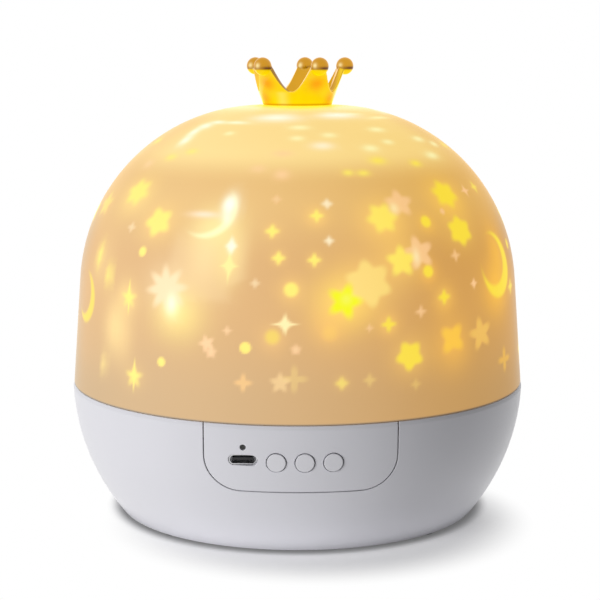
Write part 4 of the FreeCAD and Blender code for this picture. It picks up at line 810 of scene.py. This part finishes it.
# The crown: a flared wall cut into spikes, each with a ball, melted into one smooth moulding.
CROWN_FOOT_RADIUS = 12.0
CROWN_TIP_RADIUS = 16.84
CROWN_TIP_HEIGHT = 13.6
CROWN_BALL_RADIUS = 3.08
CROWN_WALL = 2.3
CROWN_FLOOR = 2.0
CROWN_VALLEY_HEIGHT = 4.9
CROWN_SPIKE_WIDTH = 5.0
CROWN_TIPS = 5
CROWN_TURN = math.radians(26.0)
CROWN_PITCH = 2 * math.pi / CROWN_TIPS
CROWN_VALLEY_POWER = 1.9
CROWN_COLUMNS = 240
CROWN_LEVELS = 10
CROWN_BALL_SEGMENTS = 32
CROWN_BALL_RINGS = 20
CROWN_VOXEL = 0.28
CROWN_SMOOTHING = 8


def crown_top(angle):
    """Height of the crown's edge above the dome at an angle from a spike's middle."""
    arc_length = abs(angle) * CROWN_TIP_RADIUS
    flat = CROWN_SPIKE_WIDTH / 2
    span = math.pi / CROWN_TIPS * CROWN_TIP_RADIUS
    if arc_length <= flat:
        return CROWN_TIP_HEIGHT
    share = (arc_length - flat) / (span - flat)
    return CROWN_VALLEY_HEIGHT + (CROWN_TIP_HEIGHT - CROWN_VALLEY_HEIGHT) * (1 - share) ** CROWN_VALLEY_POWER


def add_crown_wall(model):
    slope = (CROWN_TIP_RADIUS - CROWN_FOOT_RADIUS) / CROWN_TIP_HEIGHT
    outer = [[] for _ in range(CROWN_LEVELS + 1)]
    inner = [[] for _ in range(CROWN_LEVELS + 1)]
    for column in range(CROWN_COLUMNS):
        angle = 2 * math.pi * column / CROWN_COLUMNS
        top = crown_top((angle - CROWN_TURN + CROWN_PITCH / 2) % CROWN_PITCH - CROWN_PITCH / 2)
        outward = Vector((math.sin(angle), -math.cos(angle), 0))
        for level in range(CROWN_LEVELS + 1):
            height = top * level / CROWN_LEVELS
            radius = CROWN_FOOT_RADIUS + slope * height
            outer[level].append(model.verts.new(outward * radius + Vector((0, 0, DOME_TOP + height))))
            height = CROWN_FLOOR + (top - CROWN_FLOOR) * level / CROWN_LEVELS
            radius = CROWN_FOOT_RADIUS + slope * height - CROWN_WALL
            inner[level].append(model.verts.new(outward * radius + Vector((0, 0, DOME_TOP + height))))
    for column in range(CROWN_COLUMNS):
        after = (column + 1) % CROWN_COLUMNS
        for level in range(CROWN_LEVELS):
            model.faces.new((outer[level][column], outer[level][after],
                             outer[level + 1][after], outer[level + 1][column]))
            model.faces.new((inner[level][after], inner[level][column],
                             inner[level + 1][column], inner[level + 1][after]))
        model.faces.new((outer[-1][column], outer[-1][after], inner[-1][after], inner[-1][column]))
    model.faces.new(list(reversed(outer[0])))
    model.faces.new(inner[0])


def add_crown_balls(model):
    for tip in range(CROWN_TIPS):
        angle = CROWN_TURN + CROWN_PITCH * tip
        centre = Vector((math.sin(angle) * CROWN_TIP_RADIUS, -math.cos(angle) * CROWN_TIP_RADIUS,
                         DOME_TOP + CROWN_TIP_HEIGHT))
        ball = bmesh.ops.create_uvsphere(model, u_segments=CROWN_BALL_SEGMENTS, v_segments=CROWN_BALL_RINGS,
                                         radius=CROWN_BALL_RADIUS)
        bmesh.ops.translate(model, verts=ball["verts"], vec=centre)


def melted(model, name):
    """One smooth mesh made of the overlapping solids of a model."""
    rough = bpy.data.meshes.new(name + "_rough")
    model.to_mesh(rough)
    model.free()
    holder = bpy.data.objects.new(name + "_rough", rough)
    bpy.context.scene.collection.objects.link(holder)
    melt = holder.modifiers.new("melt", "REMESH")
    melt.mode = "VOXEL"
    melt.voxel_size = CROWN_VOXEL * MM
    smooth = holder.modifiers.new("smooth", "SMOOTH")
    smooth.iterations = CROWN_SMOOTHING
    graph = bpy.context.evaluated_depsgraph_get()
    mesh = bpy.data.meshes.new_from_object(holder.evaluated_get(graph))
    mesh.name = name
    bpy.data.objects.remove(holder)
    return mesh


def make_crown(material):
    model = bmesh.new()
    add_crown_wall(model)
    add_crown_balls(model)
    bmesh.ops.scale(model, verts=model.verts, vec=(MM, MM, MM))
    mesh = melted(model, "clear_crown")
    points = np.array([vertex.co for vertex in mesh.vertices]) / MM
    normals = np.array([vertex.normal for vertex in mesh.vertices])
    paint_mesh(mesh, paint_crown(points, normals))
    new_object("clear_crown", mesh, material, "dome", "crown")


# The crown's glow, with painted light and shade on it. A place is a middle and a spread, a band a start and
# an end,
# in millimetres, degrees, or as a share: of the normal that points outward or to the right, or of a ball's
# radius upwards.
CROWN_YELLOW = (1.0, 0.68, 0.0)
CROWN_ORANGE = (1.0, 0.36, 0.0)
# Painted shade: faces turned inward are a deeper amber.
CROWN_INNER_SHADE = (0.66, 0.33, 0.0)
# Painted shade on the balls: darker gold tops and a dark band under them.
CROWN_BALL_TOP_SHADE = (0.62, 0.29, 0.0)
CROWN_BALL_SHADE_BAND = (0.10, 0.02, 0.0)
# Painted highlight: a pale column low on the wall's front left.
CROWN_HIGHLIGHT = (1.0, 0.80, 0.10)
# Painted highlight: the glint on each ball.
CROWN_GLINT_WHITE = (1.0, 0.80, 0.36)
# Painted shade: the dark line at the crown's foot.
CROWN_FOOT_SHADE = (0.60, 0.20, 0.0)
# Painted light and shade on the cut faces: shaded where they face right, and where they face left on the
# right-hand side; lit where they face left.
CROWN_RIGHT_EDGE_SHADE = (0.22, 0.08, 0.0)
CROWN_LEFT_EDGE_LIGHT = (0.90, 0.50, 0.06)
CROWN_FAR_EDGE_SHADE = (0.36, 0.14, 0.0)
SPIKE_GLOW_HEIGHT = (7.6, 2.4)
SPIKE_GLOW_WIDTH = (0.0, 3.6)
SPIKE_GLOW_STRENGTH = 0.9
CORNER_GLOW_HEIGHT = (2.4, 2.6)
CORNERS = 3
CORNER_POWER = 4
CORNER_GLOW_STRENGTH = 0.8
# Painted highlight column.
COLUMN_AZIMUTH = (-24.0, 8.0)
COLUMN_TOP_BAND = (4.2, 5.4)
COLUMN_STRENGTH = 0.9
# Painted shade line at the crown's foot.
FOOT_LINE_HEIGHT = (0.45, 0.35)
FOOT_LINE_STRENGTH = 0.75
INWARD_BAND = (0.1, 0.5)
OUTWARD_BAND = (0.35, 0.70)
EDGE_HEIGHT_BAND = (3.2, 4.2)
SIDEWAYS_BAND = (-0.05, 0.35)
FAR_EDGE_BAND = (45, 60)
RIGHT_EDGE_STRENGTH = 0.9
LEFT_EDGE_STRENGTH = 0.8
FAR_EDGE_STRENGTH = 0.7
BALL_BAND = (0.05, 0.45)
# Painted shade on the balls: the darker tops, and the dark band, which is strongest on the right.
BALL_LINE_BAND = (-0.44, -0.34)
BALL_LINE = (-0.22, 0.17)
BALL_LINE_SIDE_BAND = (-0.3, 0.5)
BALL_LINE_LEAST = 0.35
GLINT_NORMAL = (-0.57, -0.80, 0.08)
GLINT_SIZE = 0.07


def paint_crown(points, normals):
    """Colours of the glowing crown: yellow walls and orange spike middles, with painted light and shade:
    deeper inward faces, a highlight column, a shade line at the foot, lit and shaded cut faces, and balls
    with dark gold tops, a dark band and a glint.
    """
    x, y, height = points.T
    height = height - DOME_TOP
    to_right = normals[:, 0]
    azimuth = np.arctan2(x, -y)
    degrees = np.degrees(azimuth)
    lean = math.atan2(CROWN_TIP_RADIUS - CROWN_FOOT_RADIUS, CROWN_TIP_HEIGHT)
    wall = np.stack([np.sin(azimuth) * math.cos(lean), -np.cos(azimuth) * math.cos(lean),
                     np.full(len(points), -math.sin(lean))], 1)
    facing = (wall * normals).sum(1)
    inward = step(*INWARD_BAND, -facing)
    from_spike = np.mod(azimuth - CROWN_TURN + CROWN_PITCH / 2, CROWN_PITCH) - CROWN_PITCH / 2
    colours = np.tile(np.array(CROWN_YELLOW), (len(points), 1))

    def lay(amount, colour):
        share = np.clip(amount, 0, 1)[:, None]
        colours[:] = colours * (1 - share) + np.array(colour) * share

    spike = hump(height, *SPIKE_GLOW_HEIGHT) * hump(from_spike * CROWN_TIP_RADIUS, *SPIKE_GLOW_WIDTH)
    corner = np.clip(-np.cos(CORNERS * azimuth), 0, 1) ** CORNER_POWER
    corner = corner * hump(height, *CORNER_GLOW_HEIGHT)
    column = hump(degrees, *COLUMN_AZIMUTH) * (1 - step(*COLUMN_TOP_BAND, height))
    lay(SPIKE_GLOW_STRENGTH * spike, CROWN_ORANGE)
    lay(CORNER_GLOW_STRENGTH * corner, CROWN_ORANGE)
    # painted highlight column
    lay(COLUMN_STRENGTH * column, CROWN_HIGHLIGHT)
    # painted shade at the foot
    lay(FOOT_LINE_STRENGTH * hump(height, *FOOT_LINE_HEIGHT), CROWN_FOOT_SHADE)
    # painted shade on faces turned inward
    lay(inward, CROWN_INNER_SHADE)
    # painted light and shade on the cut faces, by the side they face
    cut = (1 - step(*OUTWARD_BAND, np.abs(facing))) * step(*EDGE_HEIGHT_BAND, height)
    leftward = cut * step(*SIDEWAYS_BAND, -to_right)
    lay(RIGHT_EDGE_STRENGTH * cut * step(*SIDEWAYS_BAND, to_right), CROWN_RIGHT_EDGE_SHADE)
    lay(LEFT_EDGE_STRENGTH * leftward, CROWN_LEFT_EDGE_LIGHT)
    lay(FAR_EDGE_STRENGTH * leftward * step(*FAR_EDGE_BAND, degrees), CROWN_FAR_EDGE_SHADE)

    tip = azimuth - from_spike
    ball_centres = np.stack([np.sin(tip) * CROWN_TIP_RADIUS, -np.cos(tip) * CROWN_TIP_RADIUS,
                             np.full(len(points), DOME_TOP + CROWN_TIP_HEIGHT)], 1)
    from_ball = np.sqrt(((points - ball_centres) ** 2).sum(1)) - CROWN_BALL_RADIUS
    ball = 1 - step(*BALL_BAND, from_ball)
    rise = (height - CROWN_TIP_HEIGHT) / CROWN_BALL_RADIUS
    line = hump(rise, *BALL_LINE)
    line = line * (BALL_LINE_LEAST + (1 - BALL_LINE_LEAST) * step(*BALL_LINE_SIDE_BAND, to_right))
    from_glint = ((normals - np.array(GLINT_NORMAL)) ** 2).sum(1)
    lay(ball * (1 - inward), CROWN_YELLOW)
    # painted shade on the balls' tops and their dark band
    lay(ball * step(*BALL_LINE_BAND, rise), CROWN_BALL_TOP_SHADE)
    lay(ball * line, CROWN_BALL_SHADE_BAND)
    # painted glint
    lay(ball * np.exp(-from_glint / GLINT_SIZE), CROWN_GLINT_WHITE)
    return colours


CROWN_BODY_SHARE = 0.10
CROWN_FLOWS = 180
CROWN_FLOW_DETAIL = 2
CROWN_FLOW_BAND = (0.86, 1.10)
CROWN_FLOW_BUMP = 0.12
CROWN_FLOW_HEIGHT = 0.0003
CROWN_ROUGHNESS = 0.08
CROWN_REFRACTION = 1.49
CROWN_REFLECTION = 0.3
CROWN_CLEARNESS = 0.15


def crown_material():
    """Clear amber plastic that glows where the lamp shines into its foot; its glow colours also carry painted
    light and shade.
    """
    material, tree = new_material("amber_crown")
    glow = (tree.add("Attribute", attribute_name="glow"), "Color")
    place = (tree.add("TexCoord"), "Object")
    body = tree.add("VectorMath", {"Vector": glow, "Scale": CROWN_BODY_SHARE}, operation="SCALE")
    flow = (tree.add("TexNoise", {"Vector": place, "Scale": CROWN_FLOWS,
                                  "Detail": CROWN_FLOW_DETAIL}), "Fac")
    drift = tree.add("MapRange", {"Value": flow, "To Min": CROWN_FLOW_BAND[0],
                                  "To Max": CROWN_FLOW_BAND[1]})
    shine = tree.add("VectorMath", {"Vector": glow, "Scale": (drift, "Result")}, operation="SCALE")
    relief = tree.add("Bump", {"Height": flow, "Strength": CROWN_FLOW_BUMP, "Distance": CROWN_FLOW_HEIGHT})
    shader = tree.add("BsdfPrincipled", {
        "Base Color": (body, "Vector"), "Roughness": CROWN_ROUGHNESS, "IOR": CROWN_REFRACTION,
        "Specular IOR Level": CROWN_REFLECTION, "Transmission Weight": CROWN_CLEARNESS,
        "Normal": (relief, "Normal"), "Emission Color": (shine, "Vector"), "Emission Strength": GLOW_LIGHT,
    })
    tree.add("OutputMaterial", {"Surface": (shader, "BSDF")})
    return material


FINISHES = [
    # material, colour, roughness, coat, metallic, alpha, nodes
    ("white_shell", (0.80, 0.795, 0.845), 0.34, 0.15, 0.0, 1.0,
     ("base_bowl", "bottom_cover", "control_panel")),
    ("white_button", (0.83, 0.825, 0.87), 0.32, 0.15, 0.0, 1.0,
     ("left_button", "middle_button", "right_button")),
    ("inner_white", (0.80, 0.79, 0.76), 0.45, 0.0, 0.0, 1.0,
     ("deck", "lamp_post", "turntable", "battery_cradle")),
    ("foot_rubber", (0.10, 0.10, 0.11), 0.75, 0.0, 0.0, 1.0, ("rubber_feet",)),
    ("nylon", (0.86, 0.84, 0.78), 0.5, 0.0, 0.0, 1.0, ("thrust_washer", "drive_pinion")),
    ("screw_steel", (0.50, 0.50, 0.52), 0.35, 0.0, 1.0, 1.0,
     ("bottom_screws", "deck_screws", "post_screws", "bracket_screws", "board_screws", "crown_screw")),
    ("spring_steel", (0.60, 0.60, 0.62), 0.3, 0.0, 1.0, 1.0,
     ("retaining_ring", "motor_bracket", "motor_shaft", "crown_washer", "battery_tabs")),
    ("motor_steel", (0.58, 0.58, 0.58), 0.38, 0.0, 1.0, 1.0, ("gear_motor",)),
    ("port_steel", (0.62, 0.62, 0.64), 0.28, 0.0, 1.0, 1.0, ("usb_shell",)),
    ("board_aluminium", (0.85, 0.85, 0.85), 0.4, 0.0, 0.0, 1.0, ("led_board",)),
    ("board_green", (0.04, 0.25, 0.12), 0.35, 0.2, 0.0, 1.0, ("main_board",)),
    ("chip_black", (0.02, 0.02, 0.022), 0.45, 0.0, 0.0, 1.0,
     ("board_chips", "usb_tongue", "switch_housings", "left_plunger", "middle_plunger", "right_plunger")),
    ("socket_white", (0.84, 0.83, 0.78), 0.45, 0.0, 0.0, 1.0, ("wire_sockets",)),
    ("cell_wrap", (0.06, 0.22, 0.58), 0.25, 0.3, 0.0, 1.0, ("battery_cell",)),
    ("strap_black", (0.03, 0.03, 0.03), 0.6, 0.0, 0.0, 1.0, ("battery_strap",)),
    ("lead_insulation", (0.62, 0.05, 0.04), 0.45, 0.0, 0.0, 1.0,
     ("led_leads", "motor_leads", "battery_leads")),
    ("clear_drum", (0.95, 0.92, 0.86), 0.12, 0.0, 0.0, 0.25, ("film_drum",)),
    ("clear_lens", (0.95, 0.93, 0.88), 0.08, 0.0, 0.0, 0.35, ("led_lens",)),
    ("light_pipe_dark", (0.03, 0.03, 0.03), 0.2, 0.0, 0.0, 1.0, ("light_pipe",)),
    ("indicator_off", (0.85, 0.85, 0.80), 0.3, 0.0, 0.0, 1.0, ("indicator_led",)),
    ("led_phosphor", (1.0, 0.86, 0.45), 0.5, 0.0, 0.0, 1.0, ("led_chips",)),
    ("printed_film", (0.90, 0.58, 0.26), 0.35, 0.0, 0.0, 1.0, ("side_film", "top_film")),
]
LIGHT_GIVEN = {"led_phosphor": 3.0, "printed_film": 0.5}
ROUNDED_EDGES = {"white_shell": 0.0005, "white_button": 0.0005}


def make_lamp_parts():
    for name, colour, roughness, coat, metallic, alpha, members in FINISHES:
        emission = LIGHT_GIVEN.get(name, 0.0)
        edge = ROUNDED_EDGES.get(name, 0.0)
        dress(plastic(name, colour, roughness, coat, metallic, alpha, emission, edge), *members)


# The studio. The floor's own light is FLOOR_FILL where it is seen and NEAR_BOUNCE where it only lights the
# lamp, inside the shadow's circle. Outside it the floor is plain white and lights the lamp by FLOOR_BOUNCE.
FLOOR_HALF_WIDTH = 6.0
FLOOR_COLOUR = (0.86, 0.86, 0.87, 1)
FLOOR_FILL = 0.26
NEAR_BOUNCE = 0.32
FLOOR_BOUNCE = 0.44
SHADOW_CENTRE = (7 * MM, -23 * MM, 0)
SHADOW_FULL = 50 * MM
SHADOW_END = 76 * MM
# Painted contact shadow: between these radii from the lamp's axis the floor darkens, down to this share of
# its light at the lamp's foot.
CONTACT_SHADOW_RADIUS = 63.5 * MM
CONTACT_SHADOW_END = 69.5 * MM
CONTACT_SHADOW_LIGHT = 0.4
WORLD_COLOUR = (0.97, 0.98, 1.0, 1)
WORLD_LIGHT = 0.08
LIGHTS = [
    # name, position, aim, width, watts
    ("key_left", (-1.18, -0.92, 0.30), (0, 0, 0.05), 0.6, 14.0),
    ("top_soft", (-0.10, 0.10, 1.40), (0, 0, 0.05), 1.2, 1.0),
]


def seen_directly(tree):
    """1 for rays that come from the camera, a reflection or clear plastic, else 0."""
    ray = tree.add("LightPath")
    first = tree.add("Math", {0: (ray, "Is Camera Ray"), 1: (ray, "Is Glossy Ray")}, operation="MAXIMUM")
    second = tree.add("Math", {0: (first, "Value"), 1: (ray, "Is Transmission Ray")}, operation="MAXIMUM")
    return second, "Value"


def floor_material():
    """White studio floor that keeps the soft shadow round the lamp, adds a painted contact shadow at its
    foot, and is plain white beyond it.
    """
    material, tree = new_material("studio_floor")
    direct = seen_directly(tree)
    place = (tree.add("TexCoord"), "Object")
    diffuse = tree.add("BsdfDiffuse", {"Color": FLOOR_COLOUR})
    fill = tree.add("MapRange", {"Value": direct, "To Min": NEAR_BOUNCE, "To Max": FLOOR_FILL})
    fill_light = tree.add("Emission", {"Strength": (fill, "Result")})
    near = tree.add("AddShader", {0: (diffuse, "BSDF"), 1: (fill_light, "Emission")})
    level = tree.add("MapRange", {"Value": direct, "To Min": FLOOR_BOUNCE, "To Max": 1.0})
    far = tree.add("Emission", {"Strength": (level, "Result")})
    from_lamp = tree.add("VectorMath", {0: place}, operation="LENGTH")
    # painted contact shadow near the lamp's foot
    clear = tree.add("MapRange", {"Value": (from_lamp, "Value"), "From Min": CONTACT_SHADOW_RADIUS,
                                  "From Max": CONTACT_SHADOW_END}, interpolation_type="SMOOTHSTEP")
    contact_shadow = tree.add("MapRange", {"Value": (clear, "Result"), "To Min": CONTACT_SHADOW_LIGHT})
    shaded = tree.add("MixShader", {0: (contact_shadow, "Result"), 2: (near, "Shader")})
    from_shadow = tree.add("VectorMath", {0: place, 1: SHADOW_CENTRE}, operation="DISTANCE")
    away = tree.add("MapRange", {"Value": (from_shadow, "Value"), "From Min": SHADOW_FULL,
                                 "From Max": SHADOW_END}, interpolation_type="SMOOTHSTEP")
    share = tree.add("Math", {0: (away, "Result"), 1: (clear, "Result")}, operation="MULTIPLY")
    surface = tree.add("MixShader", {0: (share, "Value"), 1: (shaded, "Shader"), 2: (far, "Emission")})
    tree.add("OutputMaterial", {"Surface": (surface, "Shader")})
    return material


def make_floor():
    mesh = bpy.data.meshes.new("studio_floor")
    half = FLOOR_HALF_WIDTH
    mesh.from_pydata([(-half, -half, 0), (half, -half, 0), (half, half, 0), (-half, half, 0)], [],
                     [(0, 1, 2, 3)])
    mesh.materials.append(floor_material())
    floor = bpy.data.objects.new("studio_floor", mesh)
    bpy.context.scene.collection.objects.link(floor)


def make_world():
    """A faint even light, which the camera and reflections see as white."""
    world = bpy.data.worlds.new("studio")
    bpy.context.scene.world = world
    world.use_nodes = True
    tree = Nodes(world.node_tree)
    light = tree.add("Background", {"Color": WORLD_COLOUR, "Strength": WORLD_LIGHT})
    backdrop = tree.add("Background", {"Color": (1, 1, 1, 1), "Strength": 1.0})
    direct = seen_directly(tree)
    mix = tree.add("MixShader", {0: direct, 1: (light, "Background"), 2: (backdrop, "Background")})
    tree.add("OutputWorld", {"Surface": (mix, "Shader")})


def make_lights():
    for name, position, aim, width, watts in LIGHTS:
        data = bpy.data.lights.new(name, "AREA")
        data.size = width
        data.energy = watts
        lamp = bpy.data.objects.new(name, data)
        lamp.location = position
        lamp.rotation_euler = (Vector(aim) - Vector(position)).to_track_quat("-Z", "Y").to_euler()
        lamp.visible_glossy = False
        bpy.context.scene.collection.objects.link(lamp)


make_camera()
make_world()
make_lights()
make_floor()
make_lamp_parts()
make_dome(dome_material())
make_crown(crown_material())
bpy.context.scene.view_settings.view_transform = "Standard"
